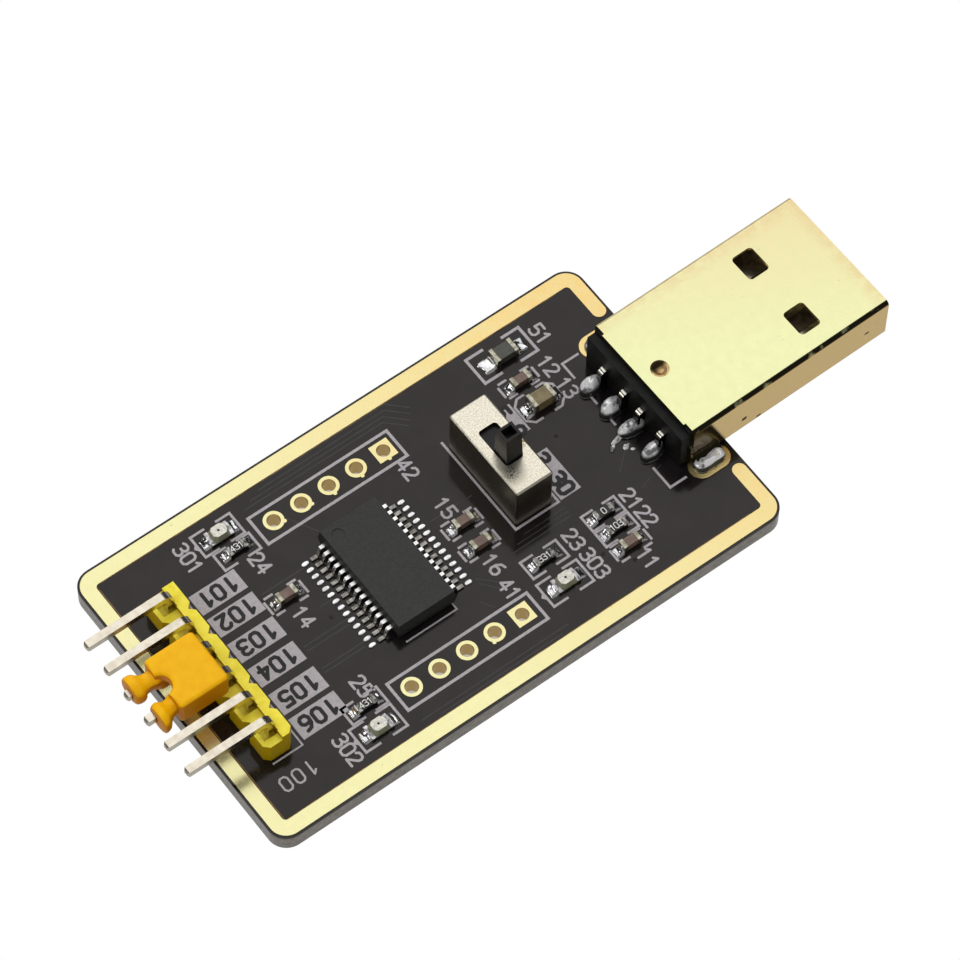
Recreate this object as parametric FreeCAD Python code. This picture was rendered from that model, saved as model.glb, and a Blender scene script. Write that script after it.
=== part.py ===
"""USB to serial adapter module: a circuit board with an A-type plug, a bent pin header with a
jumper cap, a slide switch, a 28-lead chip and small chip components.

Millimetres. X runs along the board towards the plug, Y across it, Z up. While it is built, the
board's top face is z = 0 and the board's middle is x = y = 0. At the end everything is moved so
that the origin is under the middle of the whole module, at the level that it rests on.
"""
import FreeCAD, Part
import math
import os

V = FreeCAD.Vector
UP = V(0, 0, 1)

# How much of an edge's direction must lie along an axis for the edge to count as parallel to it
ALONG = 0.999

# Circuit board
BOARD_LENGTH = 46.8
BOARD_WIDTH = 27.0
BOARD_THICKNESS = 1.6
BOARD_CORNER_R = 1.6

# Copper that shows: the band round the edge, open at the plug, and the plated holes. A small hole,
# its ring and its solder are drawn with flats, because a board full of true circles is too heavy
COPPER_T = 0.05
HOLE_WALL_T = 0.05
HOLE_FLATS = 8
BAND_INSET = 0.2
BAND_SIDE_WIDTH = 1.25
BAND_END_WIDTH = 1.15
BAND_INNER_R = 0.35
BAND_GAP_LOW_Y = -8.0
BAND_GAP_HIGH_Y = 8.3

# The two rows of empty plated holes; the last ring of each row is square
PITCH = 2.54
ROW_COUNT = 5
ROW_FIRST_X = -8.13
ROW_FROM_SIDE = 4.81
ROW_HOLE_D = 1.1
ROW_RING = 1.65
ROW_TEAR_WIDTH = 0.5
ROW_TEAR_REACH = 1.0

# Pin header: a strip of joined segments, with a low shelf where the pins bend out
HEADER_COUNT = 6
HEADER_FROM_END = 4.3
HEADER_Y = 0.15
HEADER_WIDTH = 2.5
HEADER_HEIGHT = 2.54
HEADER_SEAM = 0.42
HEADER_WALL = 1.0
HEADER_SHELF_DROP = 0.45
HEADER_POCKET_WIDTH = 1.2
HEADER_POCKET_REACH = 0.9
HEADER_POCKET_DEPTH = 1.0
HEADER_HOLE_D = 1.0
HEADER_RING_D = 1.7
PIN_SIDE = 0.64
PIN_HEIGHT = 3.78
PIN_BEND_R = 0.5
PIN_REACH = 7.4
PIN_POINT = 0.14
TAIL_BELOW = 1.1
CONE_HEIGHT = 0.85
CONE_TOP_D = 0.95

# Jumper cap, over two neighbouring pins, which are counted from the far side
JUMPER_PINS = (3, 4)
JUMPER_SET_OFF = 0.33
JUMPER_BLOCK_LENGTH = 4.25
JUMPER_WIDTH = 4.84
JUMPER_THICKNESS = 2.5
JUMPER_EDGE_R = 0.4
JUMPER_POST_D = 2.2
JUMPER_POST_LENGTH = 2.05
JUMPER_NECK_D = 1.55
JUMPER_TIP_D = 1.8
JUMPER_TIP_LENGTH = 0.4
JUMPER_NOTCH_WIDTH = 1.2
JUMPER_NOTCH_DEPTH = 0.75
JUMPER_PIN_PLAY = 0.08
JUMPER_CAVITY_WALL = 0.5
JUMPER_LEAF_LOW = 0.45
CONTACT_SHEET_T = 0.2
CONTACT_PLAY = 0.03
CONTACT_END_GAP = 0.1

# Slide switch
SWITCH_X = 7.87
SWITCH_Y = 1.8
SWITCH_LENGTH = 8.5
SWITCH_WIDTH = 3.4
SWITCH_HEIGHT = 4.65
SWITCH_SHEET_T = 0.3
SWITCH_EDGE_R = 0.2
SLOT_LENGTH = 3.65
SLOT_WIDTH = 1.7
SLOT_CORNER_R = 0.32
KNOB_LENGTH = 1.28
KNOB_WIDTH = 1.4
KNOB_FOOT_LENGTH = 1.6
KNOB_FOOT_WIDTH = 1.5
KNOB_ABOVE_CASE = 3.05
KNOB_RIM = 0.22
KNOB_DISH_DEPTH = 1.0
KNOB_END_PLAY = 0.12
SLIDER_T = 1.2
SLIDER_PLAY = 0.1
SWITCH_BASE_T = 1.8
TERMINAL_PITCH = 2.5
TERMINAL_COUNT = 3
TERMINAL_WIDTH = 0.6
TERMINAL_T = 0.4
TERMINAL_PROUD = 0.4
TERMINAL_HOLE_D = 0.9
TERMINAL_RING_D = 1.6
TERMINAL_BELOW = 0.9
TERMINAL_CONE_HEIGHT = 0.65
WIPER_T = 0.15
WIPER_WIDTH = 1.2
WIPER_FOOT = 0.35

# Chip: a 28-lead shrink small outline package
CHIP_X = -3.98
CHIP_Y = 0.05
CHIP_LENGTH = 10.2
CHIP_WIDTH = 5.3
CHIP_BODY_T = 1.72
CHIP_STANDOFF = 0.12
CHIP_DRAFT = 0.13
CHIP_DIMPLE_D = 1.0
CHIP_DIMPLE_DEPTH = 0.06
CHIP_DIMPLE_EDGE = 1.1
LEADS_PER_SIDE = 14
LEAD_PITCH = 0.65
LEAD_WIDTH = 0.3
LEAD_T = 0.15
LEAD_SPAN = 7.8
LEAD_SHOULDER = 0.38
LEAD_FOOT = 0.6
LEAD_PAD_WIDTH = 0.38
LEAD_PAD_INNER = 3.4
LEAD_PAD_OUTER = 4.85

# USB plug. Its own frame has u from the shell's rear edge to its mouth, v across and z up
PLUG_FROM_END = 3.62
PLUG_Y = -0.03
PLUG_YAW_DEG = 0.9
SHELL_LENGTH = 19.1
SHELL_WIDTH = 12.0
SHELL_HEIGHT = 4.5
SHELL_T = 0.3
SHELL_EDGE_R = 0.42
WINDOW_LENGTH = 1.95
WINDOW_WIDTH = 2.4
WINDOW_R = 0.35
WINDOW_FROM_MOUTH = 5.2
WINDOW_OFFSET_V = 3.07
DIMPLE_D = 1.4
DIMPLE_FLOOR_D = 0.4
DIMPLE_DEPTH = 0.45
DIMPLE_FROM_REAR = 1.65
SHELL_STEP = 0.2
SHELL_STEP_WIDTH = 1.1
TAB_FROM_REAR = 0.4
TAB_LENGTH = 2.25
TAB_BEND_R = 0.3
TAB_TOP = 0.9
TAB_FOOT_TOP = 0.35
TAB_LEG_V = 6.55
SIDE_HOLE = (0.45, 0.38)
SIDE_HOLE_PLACE = (4.93, 1.37)
SLIT = (0.42, 0.24)
SLIT_PLACES = ((3.93, 0.1), (6.41, 0.43))
SLIT_FROM_MOUTH = 2.2
SLIT_HIGH_Z = 1.9
TONGUE_T = 1.95
TONGUE_SIDE_GAP = 0.15
TONGUE_SET_BACK = 1.2
PLUG_BACK_LENGTH = 6.5
PLUG_BACK_PROUD = 0.75
PLUG_BACK_TOP_DROP = 0.25
CONTACT_WIDTH = 1.0
TAIL_WIDTH = 0.5
TAIL_FROM_REAR = 1.5
CONTACT_T = 0.25
CONTACT_PROUD = 0.05
CONTACT_OUTER_V = 3.5
CONTACT_INNER_V = 1.0
CONTACT_SET_BACK = 1.9
CONTACT_BEND_R = 0.3
CONTACT_FOOT = 1.0
CONTACT_DROP_U = 0.45
TAIL_SLOT_PLAY = 0.1
BLOB_FOOT = (2.1, 1.25)
BLOB_TOP = (1.1, 0.6)
BLOB_HEIGHT = 0.95
TAB_SLOT_LENGTH = 2.75
TAB_SLOT_WIDTH = 1.3
TAB_RING_WIDTH = 0.4
TAB_PAD_FROM_REAR = 1.35
TAB_PAD_V = 6.62
TAB_MENISCUS = 0.18

# Chip components: length, width and height of each body
SMALL_CAPACITOR = (1.6, 0.8, 0.8)
LARGE_CAPACITOR = (2.0, 1.25, 1.2)
RESISTOR = (1.6, 0.8, 0.45)
FERRITE = (2.0, 1.25, 0.9)
LED_BASE = (2.0, 1.25, 0.3)
LED_LENS = (1.45, 1.2, 0.5)
LED_LENS_DRAFT = 0.12
LED_LENS_CORNER = 0.22
CAP_WRAP = 0.32
CAP_T = 0.05
SOLDER_T = 0.04
SMALL_TOE = 0.45
LARGE_TOE = 0.6
TOE_CLIMB = 0.55
TOE_KNEE = 1 / 3

# Places and levels that follow from the sizes above
NEAR_SIDE = -BOARD_WIDTH / 2
FAR_SIDE = BOARD_WIDTH / 2
ROW_OFFSET_Y = FAR_SIDE - ROW_FROM_SIDE
HEADER_X = HEADER_FROM_END - BOARD_LENGTH / 2
PLUG_X = BOARD_LENGTH / 2 - PLUG_FROM_END
MIDWAY_X = (SWITCH_X + PLUG_X) / 2
BOARD_UNDERSIDE = -BOARD_THICKNESS
SEAT = COPPER_T
PIN_TAIL_Z = BOARD_UNDERSIDE - TAIL_BELOW

# Middles of the chip components, as x and y. Those between the switch and the plug keep their place
# between the two, and those beside a long side of the board keep their distance from it
SMALL_CAPACITOR_PLACES = [
    (MIDWAY_X - 1.755, NEAR_SIDE + 4.75),
    (MIDWAY_X + 0.095, FAR_SIDE - 6.2),
    (-11.15, 2.8),
    (3.07, 0.05),
    (3.04, -2.17),
]
LARGE_CAPACITOR_PLACE = (MIDWAY_X + 0.295, FAR_SIDE - 8.53)
RESISTOR_PLACES = [
    (MIDWAY_X - 1.755, NEAR_SIDE + 8.0),
    (MIDWAY_X - 1.755, NEAR_SIDE + 6.45),
    (6.12, NEAR_SIDE + 7.5),
    (-11.78, FAR_SIDE - 5.2),
    (-11.78, NEAR_SIDE + 5.55),
]
FERRITE_PLACE = (MIDWAY_X + 0.495, FAR_SIDE - 3.53)
LED_PLACES = [
    (-12.13, FAR_SIDE - 3.4),
    (-12.08, NEAR_SIDE + 3.5),
    (6.27, NEAR_SIDE + 5.07),
]


def slab(x0, x1, y0, y1, z0, z1):
    return Part.makeBox(x1 - x0, y1 - y0, z1 - z0, V(x0, y0, z0))


def rod(x, y, diameter, z0, z1):
    return Part.makeCylinder(diameter / 2, z1 - z0, V(x, y, z0))


def flat_sided(x, y, low_d, high_d, z0, z1):
    """A post, hole or cone drawn with flats; its two diameters are across the corners."""
    wires = []
    for diameter, z in ((low_d, z0), (high_d, z1)):
        corners = []
        for i in range(HOLE_FLATS + 1):
            angle = 2 * math.pi * (i % HOLE_FLATS + 0.5) / HOLE_FLATS
            reach = diameter / 2
            corners.append(V(x + reach * math.cos(angle), y + reach * math.sin(angle), z))
        wires.append(Part.makePolygon(corners))
    return Part.makeLoft(wires, True, True)


def drilled(x, y, diameter, z0, z1):
    return flat_sided(x, y, diameter, diameter, z0, z1)


def upright_edges(shape):
    """Edges of a slab that stand along Z."""
    return [e for e in shape.Edges if abs(e.tangentAt(e.FirstParameter).z) > ALONG]


def rounded_slab(x0, x1, y0, y1, z0, z1, radius):
    """A slab whose four upright corners are rounded."""
    shape = slab(x0, x1, y0, y1, z0, z1)
    return shape.makeFillet(radius, upright_edges(shape))


def stadium(x, y, length, width, z0, z1):
    """A slab with round ends, long along X."""
    reach = (length - width) / 2
    half = width / 2 * math.cos(math.pi / HOLE_FLATS)
    middle = slab(x - reach, x + reach, y - half, y + half, z0, z1)
    ends = [drilled(x + side * reach, y, width, z0, z1) for side in (-1, 1)]
    return fused([middle] + ends)


def fused(shapes):
    """One solid from shapes that touch."""
    return shapes[0].multiFuse(shapes[1:]).removeSplitter()


def group(shapes):
    """Separate solids that share one node."""
    solids = []
    for shape in shapes:
        solids.extend(shape.Solids)
    return Part.makeCompound(solids)


def frustum(low, high, z0, z1):
    """A block from one rectangle up to another, each given as x0, x1, y0, y1."""
    wires = []
    for (x0, x1, y0, y1), z in ((low, z0), (high, z1)):
        corners = [V(x0, y0, z), V(x1, y0, z), V(x1, y1, z), V(x0, y1, z), V(x0, y0, z)]
        wires.append(Part.makePolygon(corners))
    return Part.makeLoft(wires, True, True)


def extruded_outline(points, y0, y1):
    """A straight-sided outline in the XZ plane, extruded along Y."""
    corners = [V(x, y0, z) for x, z in points]
    face = Part.Face(Part.makePolygon(corners + corners[:1]))
    return face.extrude(V(0, y1 - y0, 0))


def bent_strip(points, thickness, inner_r, y0, y1):
    """A strip bent from sheet or wire: its middle line is given in the XZ plane, its width is along
    Y, and every bend has the same inner radius."""
    middle_r = inner_r + thickness / 2
    path = [V(x, y0, z) for x, z in points]
    turns = []
    for before, corner, after in zip(path, path[1:], path[2:]):
        into = (corner - before).normalize()
        out = (after - corner).normalize()
        side = 1 if into.z * out.x - into.x * out.z > 0 else -1
        run = middle_r * math.tan(into.getAngle(out) / 2)
        turns.append((corner - into * run, corner + out * run, into, out, side))
    edges = []
    ends = []
    for offset in (thickness / 2, -thickness / 2):
        start_dir = (path[1] - path[0]).normalize()
        here = path[0] + V(-start_dir.z, 0, start_dir.x) * offset
        ends.append(here)
        for enter, leave, into, out, side in turns:
            normal_in = V(-into.z, 0, into.x)
            normal_out = V(-out.z, 0, out.x)
            centre = enter - normal_in * side * middle_r
            outward = (normal_in + normal_out).normalize() * side
            first = enter + normal_in * offset
            last = leave + normal_out * offset
            crown = centre + outward * (middle_r + side * offset)
            edges.append(Part.LineSegment(here, first).toShape())
            edges.append(Part.Arc(first, crown, last).toShape())
            here = last
        end_dir = (path[-1] - path[-2]).normalize()
        finish = path[-1] + V(-end_dir.z, 0, end_dir.x) * offset
        edges.append(Part.LineSegment(here, finish).toShape())
        ends.append(finish)
    edges.append(Part.LineSegment(ends[0], ends[2]).toShape())
    edges.append(Part.LineSegment(ends[1], ends[3]).toShape())
    wire = Part.Wire(Part.__sortEdges__(edges))
    return Part.Face(wire).extrude(V(0, y1 - y0, 0))


def folded_strip(points, thickness, y0, y1):
    """The same kind of strip with sharp folds, for pieces too small to need round bends."""
    path = [V(x, 0, z) for x, z in points]
    normals = []
    for start, end in zip(path, path[1:]):
        along = (end - start).normalize()
        normals.append(V(-along.z, 0, along.x))
    sides = []
    for offset in (thickness / 2, -thickness / 2):
        side = [path[0] + normals[0] * offset]
        for corner, before, after in zip(path[1:], normals, normals[1:]):
            middle = (before + after).normalize()
            side.append(corner + middle * (offset / middle.dot(before)))
        side.append(path[-1] + normals[-1] * offset)
        sides.append(side)
    outline = [(p.x, p.z) for p in sides[0] + sides[1][::-1]]
    return extruded_outline(outline, y0, y1)


def row_holes(sign):
    """Middles of one row of empty holes; sign picks the side of the board."""
    return [(ROW_FIRST_X + PITCH * i, sign * ROW_OFFSET_Y) for i in range(ROW_COUNT)]


def header_holes():
    middle = (HEADER_COUNT - 1) / 2
    return [(HEADER_X, HEADER_Y + PITCH * (middle - i)) for i in range(HEADER_COUNT)]


def switch_holes():
    middle = (TERMINAL_COUNT - 1) / 2
    return [(SWITCH_X, SWITCH_Y + TERMINAL_PITCH * (i - middle)) for i in range(TERMINAL_COUNT)]


def tab_places():
    """Middles of the plug's two solder tabs in the board's frame."""
    return [plug_point(TAB_PAD_FROM_REAR, side * TAB_PAD_V) for side in (-1, 1)]


def plug_point(u, v):
    yaw = math.radians(PLUG_YAW_DEG)
    x = PLUG_X + u * math.cos(yaw) - v * math.sin(yaw)
    y = PLUG_Y + u * math.sin(yaw) + v * math.cos(yaw)
    return x, y


def seat_plug(shape):
    """Moves a piece from the plug's own frame to its place on the board."""
    shape.rotate(V(0, 0, 0), UP, PLUG_YAW_DEG)
    shape.translate(V(PLUG_X, PLUG_Y, SEAT))
    return shape


def plated_hole(x, y, hole_d, ring_d):
    """The gold wall of a drilled hole with a ring on each face of the board."""
    top = drilled(x, y, ring_d, 0, COPPER_T)
    bottom = drilled(x, y, ring_d, BOARD_UNDERSIDE - COPPER_T, BOARD_UNDERSIDE)
    wall = drilled(x, y, hole_d + 2 * HOLE_WALL_T, BOARD_UNDERSIDE, 0)
    bore = drilled(x, y, hole_d, BOARD_UNDERSIDE - COPPER_T, COPPER_T)
    return fused([top, wall, bottom]).cut(bore)


def circuit_board():
    half_x = BOARD_LENGTH / 2
    half_y = BOARD_WIDTH / 2
    board = rounded_slab(-half_x, half_x, -half_y, half_y, BOARD_UNDERSIDE, 0, BOARD_CORNER_R)
    drills = []
    for places, hole_d in (
        (row_holes(-1) + row_holes(1), ROW_HOLE_D + 2 * HOLE_WALL_T),
        (header_holes(), HEADER_HOLE_D),
        (switch_holes(), TERMINAL_HOLE_D),
    ):
        for x, y in places:
            drills.append(drilled(x, y, hole_d, BOARD_UNDERSIDE, 0))
    for x, y in tab_places():
        length = TAB_SLOT_LENGTH + 2 * HOLE_WALL_T
        width = TAB_SLOT_WIDTH + 2 * HOLE_WALL_T
        drills.append(stadium(x, y, length, width, BOARD_UNDERSIDE, 0))
    return board.cut(group(drills))


def edge_band(z0):
    """A flat band just inside the board's edge. It stops in round ends beside the plug."""
    half_x = BOARD_LENGTH / 2 - BAND_INSET
    half_y = BOARD_WIDTH / 2 - BAND_INSET
    inner_x = half_x - BAND_END_WIDTH
    inner_y = half_y - BAND_SIDE_WIDTH
    z1 = z0 + COPPER_T
    outer = rounded_slab(-half_x, half_x, -half_y, half_y, z0, z1, BOARD_CORNER_R - BAND_INSET)
    inner = rounded_slab(-inner_x, inner_x, -inner_y, inner_y, z0, z1, BAND_INNER_R)
    end_r = BAND_END_WIDTH / 2
    end_x = half_x - end_r
    gap = slab(inner_x - end_r, half_x, BAND_GAP_LOW_Y - end_r, BAND_GAP_HIGH_Y + end_r, z0, z1)
    low_end = rod(end_x, BAND_GAP_LOW_Y - end_r, BAND_END_WIDTH, z0, z1)
    high_end = rod(end_x, BAND_GAP_HIGH_Y + end_r, BAND_END_WIDTH, z0, z1)
    return fused([outer.cut(inner).cut(gap), low_end, high_end])


def row_plating(sign):
    """One row of plated holes. Each ring has a small tongue where its track leaves it, towards
    the board's middle."""
    pieces = []
    half_tear = ROW_TEAR_WIDTH / 2
    for i, (x, y) in enumerate(row_holes(sign)):
        ring = plated_hole(x, y, ROW_HOLE_D, ROW_RING)
        half = ROW_RING / 2
        bore = drilled(x, y, ROW_HOLE_D, BOARD_UNDERSIDE - COPPER_T, COPPER_T)
        tear_y = y - sign * ROW_TEAR_REACH
        low_y = min(y, tear_y)
        high_y = max(y, tear_y)
        extras = [slab(x - half_tear, x + half_tear, low_y, high_y, 0, COPPER_T)]
        if i == ROW_COUNT - 1:
            for z0 in (0, BOARD_UNDERSIDE - COPPER_T):
                extras.append(slab(x - half, x + half, y - half, y + half, z0, z0 + COPPER_T))
        pieces.append(fused([ring] + extras).cut(bore))
    return group(pieces)


def tab_pads():
    pieces = []
    for x, y in tab_places():
        ring_length = TAB_SLOT_LENGTH + 2 * TAB_RING_WIDTH
        ring_width = TAB_SLOT_WIDTH + 2 * TAB_RING_WIDTH
        wall_length = TAB_SLOT_LENGTH + 2 * HOLE_WALL_T
        wall_width = TAB_SLOT_WIDTH + 2 * HOLE_WALL_T
        under = BOARD_UNDERSIDE - COPPER_T
        top = stadium(x, y, ring_length, ring_width, 0, COPPER_T)
        bottom = stadium(x, y, ring_length, ring_width, under, BOARD_UNDERSIDE)
        wall = stadium(x, y, wall_length, wall_width, BOARD_UNDERSIDE, 0)
        slot = stadium(x, y, TAB_SLOT_LENGTH, TAB_SLOT_WIDTH, under, COPPER_T)
        pieces.append(fused([top, wall, bottom]).cut(slot))
    return group(pieces)


def header_pin(x, y):
    """A square wire pin: up through the board, one bend, then level over the board's end."""
    points = [(x, PIN_TAIL_Z), (x, PIN_HEIGHT), (x - PIN_REACH, PIN_HEIGHT)]
    half = PIN_SIDE / 2
    pin = bent_strip(points, PIN_SIDE, PIN_BEND_R, y - half, y + half)
    box = pin.BoundBox
    end_edges = []
    for edge in pin.Edges:
        middle = edge.BoundBox
        at_tail = middle.ZMax - box.ZMin < PIN_POINT
        at_tip = middle.XMax - box.XMin < PIN_POINT
        if at_tail or at_tip:
            end_edges.append(edge)
    return pin.makeChamfer(PIN_POINT, end_edges)


def header_housing():
    """A strip of segments with a V seam between neighbours on both long sides. The far end is cut
    square. Behind a wall along the board side, a low shelf has a pocket round each pin."""
    x0 = HEADER_X - HEADER_WIDTH / 2
    x1 = HEADER_X + HEADER_WIDTH / 2
    segments = []
    for i, (_, y) in enumerate(header_holes()):
        y0 = y - PITCH / 2
        y1 = y + PITCH / 2
        far_seam = 0.0 if i == 0 else HEADER_SEAM
        corners = [(x0 + HEADER_SEAM, y0), (x1 - HEADER_SEAM, y0), (x1, y0 + HEADER_SEAM)]
        if far_seam:
            corners += [(x1, y1 - far_seam), (x1 - far_seam, y1), (x0 + far_seam, y1)]
            corners += [(x0, y1 - far_seam)]
        else:
            corners += [(x1, y1), (x0, y1)]
        corners += [(x0, y0 + HEADER_SEAM)]
        wire = [V(x, y, 0) for x, y in corners]
        face = Part.Face(Part.makePolygon(wire + wire[:1]))
        segments.append(face.extrude(V(0, 0, HEADER_HEIGHT)))
    strip = fused(segments)
    shelf_z = HEADER_HEIGHT - HEADER_SHELF_DROP
    box = strip.BoundBox
    cuts = [slab(x0, x1 - HEADER_WALL, box.YMin, box.YMax, shelf_z, HEADER_HEIGHT)]
    half = PIN_SIDE / 2
    for x, y in header_holes():
        cuts.append(slab(x - half, x + half, y - half, y + half, 0, HEADER_HEIGHT))
        cuts.append(slab(
            x - HEADER_POCKET_REACH,
            x + half,
            y - HEADER_POCKET_WIDTH / 2,
            y + HEADER_POCKET_WIDTH / 2,
            HEADER_HEIGHT - HEADER_POCKET_DEPTH,
            HEADER_HEIGHT,
        ))
    return strip.cut(group(cuts))


def solder_cone(x, y, hole_d, ring_d, height, held):
    """Solder that fills a hole round a pin and stands as a cone under the board."""
    fill = drilled(x, y, hole_d, BOARD_UNDERSIDE, 0)
    cone = flat_sided(x, y, CONE_TOP_D, ring_d, BOARD_UNDERSIDE - height, BOARD_UNDERSIDE)
    return fused([fill, cone]).cut(held)


def jumper_middle():
    """Middle of the jumper cap across the pins, from the two pins that it joins."""
    places = header_holes()
    first, second = [places[pin - 1][1] for pin in JUMPER_PINS]
    return (first + second) / 2, (first - second) / 2


def jumper_right_x():
    """The end of the jumper cap that faces the header, just off the upright part of the pins."""
    return HEADER_X - PIN_SIDE / 2 - JUMPER_SET_OFF


def jumper_leaf_reach():
    """From a pin's middle to the outer face of the spring leaf beside it."""
    return PIN_SIDE / 2 + CONTACT_PLAY + CONTACT_SHEET_T


def jumper_cavity_left_x():
    return jumper_right_x() - JUMPER_BLOCK_LENGTH + JUMPER_NOTCH_DEPTH + JUMPER_CAVITY_WALL


def jumper_post(y, end):
    """A post along X: a tip, a collar just behind it and a neck where it leaves the block."""
    lengths = (JUMPER_TIP_LENGTH, JUMPER_POST_LENGTH - JUMPER_TIP_LENGTH, JUMPER_NOTCH_DEPTH)
    diameters = (JUMPER_TIP_D, JUMPER_POST_D, JUMPER_NECK_D, JUMPER_NECK_D)
    start = 0
    parts = []
    for length, first_d, last_d in zip(lengths, diameters, diameters[1:]):
        parts.append(flat_sided(0, 0, first_d, last_d, start, start + length))
        start += length
    post = fused(parts)
    post.rotate(V(0, 0, 0), V(0, 1, 0), 90)
    post.translate(V(end, y, PIN_HEIGHT))
    return post


def jumper_housing():
    """A rounded block with two posts, a U notch between the posts, a bore for each pin and a
    cavity for the contact that opens towards the header."""
    y, half_pitch = jumper_middle()
    right = jumper_right_x()
    left = right - JUMPER_BLOCK_LENGTH
    end = left - JUMPER_POST_LENGTH
    half_y = JUMPER_WIDTH / 2
    half_z = JUMPER_THICKNESS / 2
    low = PIN_HEIGHT - half_z
    high = PIN_HEIGHT + half_z
    block = slab(left, right, y - half_y, y + half_y, low, high)
    long_edges = [e for e in block.Edges if abs(e.tangentAt(e.FirstParameter).x) > ALONG]
    block = block.makeFillet(JUMPER_EDGE_R, long_edges)
    notch_r = JUMPER_NOTCH_WIDTH / 2
    notch_end = left + JUMPER_NOTCH_DEPTH - notch_r
    notch = slab(left, notch_end, y - notch_r, y + notch_r, low, high)
    notch_round = rod(notch_end, y, JUMPER_NOTCH_WIDTH, low, high)
    block = block.cut(fused([notch, notch_round]))
    posts = [jumper_post(y + side * half_pitch, end) for side in (-1, 1)]
    body = fused([block] + posts)
    cuts = [jumper_cavity(y, half_pitch, right)]
    bore = PIN_SIDE / 2 + JUMPER_PIN_PLAY
    for side in (-1, 1):
        pin_y = y + side * half_pitch
        z = PIN_HEIGHT
        cuts.append(slab(end, right, pin_y - bore, pin_y + bore, z - bore, z + bore))
    return body.cut(group([fused(cuts)]))


def jumper_cavity(y, half_pitch, right):
    reach = half_pitch + jumper_leaf_reach()
    top = PIN_HEIGHT + PIN_SIDE / 2 + CONTACT_PLAY + CONTACT_SHEET_T
    bottom = PIN_HEIGHT - PIN_SIDE / 2 - JUMPER_LEAF_LOW
    return slab(jumper_cavity_left_x(), right, y - reach, y + reach, bottom, top)


def jumper_contact():
    """A folded spring: a bridge over both pins, with a leaf down each side of each pin."""
    y, half_pitch = jumper_middle()
    left = jumper_cavity_left_x() + CONTACT_END_GAP
    right = jumper_right_x() - CONTACT_END_GAP
    inner = PIN_SIDE / 2 + CONTACT_PLAY
    outer = jumper_leaf_reach()
    bridge_z = PIN_HEIGHT + inner
    top = bridge_z + CONTACT_SHEET_T
    low = PIN_HEIGHT - PIN_SIDE / 2 - JUMPER_LEAF_LOW / 2
    reach = half_pitch + outer
    pieces = [slab(left, right, y - reach, y + reach, bridge_z, top)]
    for pin_side in (-1, 1):
        for leaf_side in (-1, 1):
            pin_y = y + pin_side * half_pitch
            near = pin_y + leaf_side * inner
            far = pin_y + leaf_side * outer
            pieces.append(slab(left, right, min(near, far), max(near, far), low, top))
    return fused(pieces)


def knob_travel():
    return SLOT_LENGTH - KNOB_FOOT_LENGTH - 2 * KNOB_END_PLAY


def switch_case():
    """A folded steel cover, open below, with a round-cornered slot in its top."""
    half_x = SWITCH_WIDTH / 2
    half_y = SWITCH_LENGTH / 2
    t = SWITCH_SHEET_T
    x, y = SWITCH_X, SWITCH_Y
    top = SWITCH_HEIGHT
    outer = slab(x - half_x, x + half_x, y - half_y, y + half_y, 0, top)
    round_edges = [e for e in outer.Edges if e.BoundBox.ZMax > top - t]
    outer = outer.makeFillet(SWITCH_EDGE_R, round_edges)
    inner = slab(x - half_x + t, x + half_x - t, y - half_y + t, y + half_y - t, 0, top - t)
    slot_x = SLOT_WIDTH / 2
    slot_y = SLOT_LENGTH / 2
    slot = rounded_slab(
        x - slot_x,
        x + slot_x,
        y - slot_y,
        y + slot_y,
        top - t,
        top,
        SLOT_CORNER_R,
    )
    return outer.cut(inner).cut(slot)


def switch_base():
    """The moulded floor of the switch, which closes the cover and holds the terminals."""
    half_x = SWITCH_WIDTH / 2 - SWITCH_SHEET_T
    half_y = SWITCH_LENGTH / 2 - SWITCH_SHEET_T
    x, y = SWITCH_X, SWITCH_Y
    base = slab(x - half_x, x + half_x, y - half_y, y + half_y, 0, SWITCH_BASE_T)
    return base.cut(group([switch_terminal(tx, ty) for tx, ty in switch_holes()]))


def switch_terminal(x, y):
    half_x = TERMINAL_T / 2
    half_y = TERMINAL_WIDTH / 2
    low = BOARD_UNDERSIDE - TERMINAL_BELOW
    return slab(x - half_x, x + half_x, y - half_y, y + half_y, low, SWITCH_BASE_T + TERMINAL_PROUD)


def slider_middle_y():
    """At rest the knob stands at the near end of its slot."""
    return SWITCH_Y - knob_travel() / 2


def slider_low_z():
    return SWITCH_HEIGHT - SWITCH_SHEET_T - SLIDER_PLAY - SLIDER_T


def switch_slider():
    """A plate that always covers the slot from inside, with the dished square knob on it."""
    x = SWITCH_X
    y = slider_middle_y()
    half_x = SWITCH_WIDTH / 2 - SWITCH_SHEET_T - SLIDER_PLAY
    half_y = (SLOT_LENGTH + knob_travel()) / 2
    low = slider_low_z()
    plate = slab(x - half_x, x + half_x, y - half_y, y + half_y, low, low + SLIDER_T)
    knob_x = KNOB_WIDTH / 2
    knob_y = KNOB_LENGTH / 2
    foot_x = KNOB_FOOT_WIDTH / 2
    foot_y = KNOB_FOOT_LENGTH / 2
    top = SWITCH_HEIGHT + KNOB_ABOVE_CASE
    foot = slab(x - foot_x, x + foot_x, y - foot_y, y + foot_y, low, SWITCH_HEIGHT)
    wide = (x - foot_x, x + foot_x, y - foot_y, y + foot_y)
    narrow = (x - knob_x, x + knob_x, y - knob_y, y + knob_y)
    knob = frustum(wide, narrow, SWITCH_HEIGHT, top)
    dish_x = knob_x - KNOB_RIM
    dish_y = knob_y - KNOB_RIM
    floor_z = top - KNOB_DISH_DEPTH
    dish = slab(x - dish_x, x + dish_x, y - dish_y, y + dish_y, floor_z, top)
    return fused([plate, foot, knob]).cut(dish)


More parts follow.
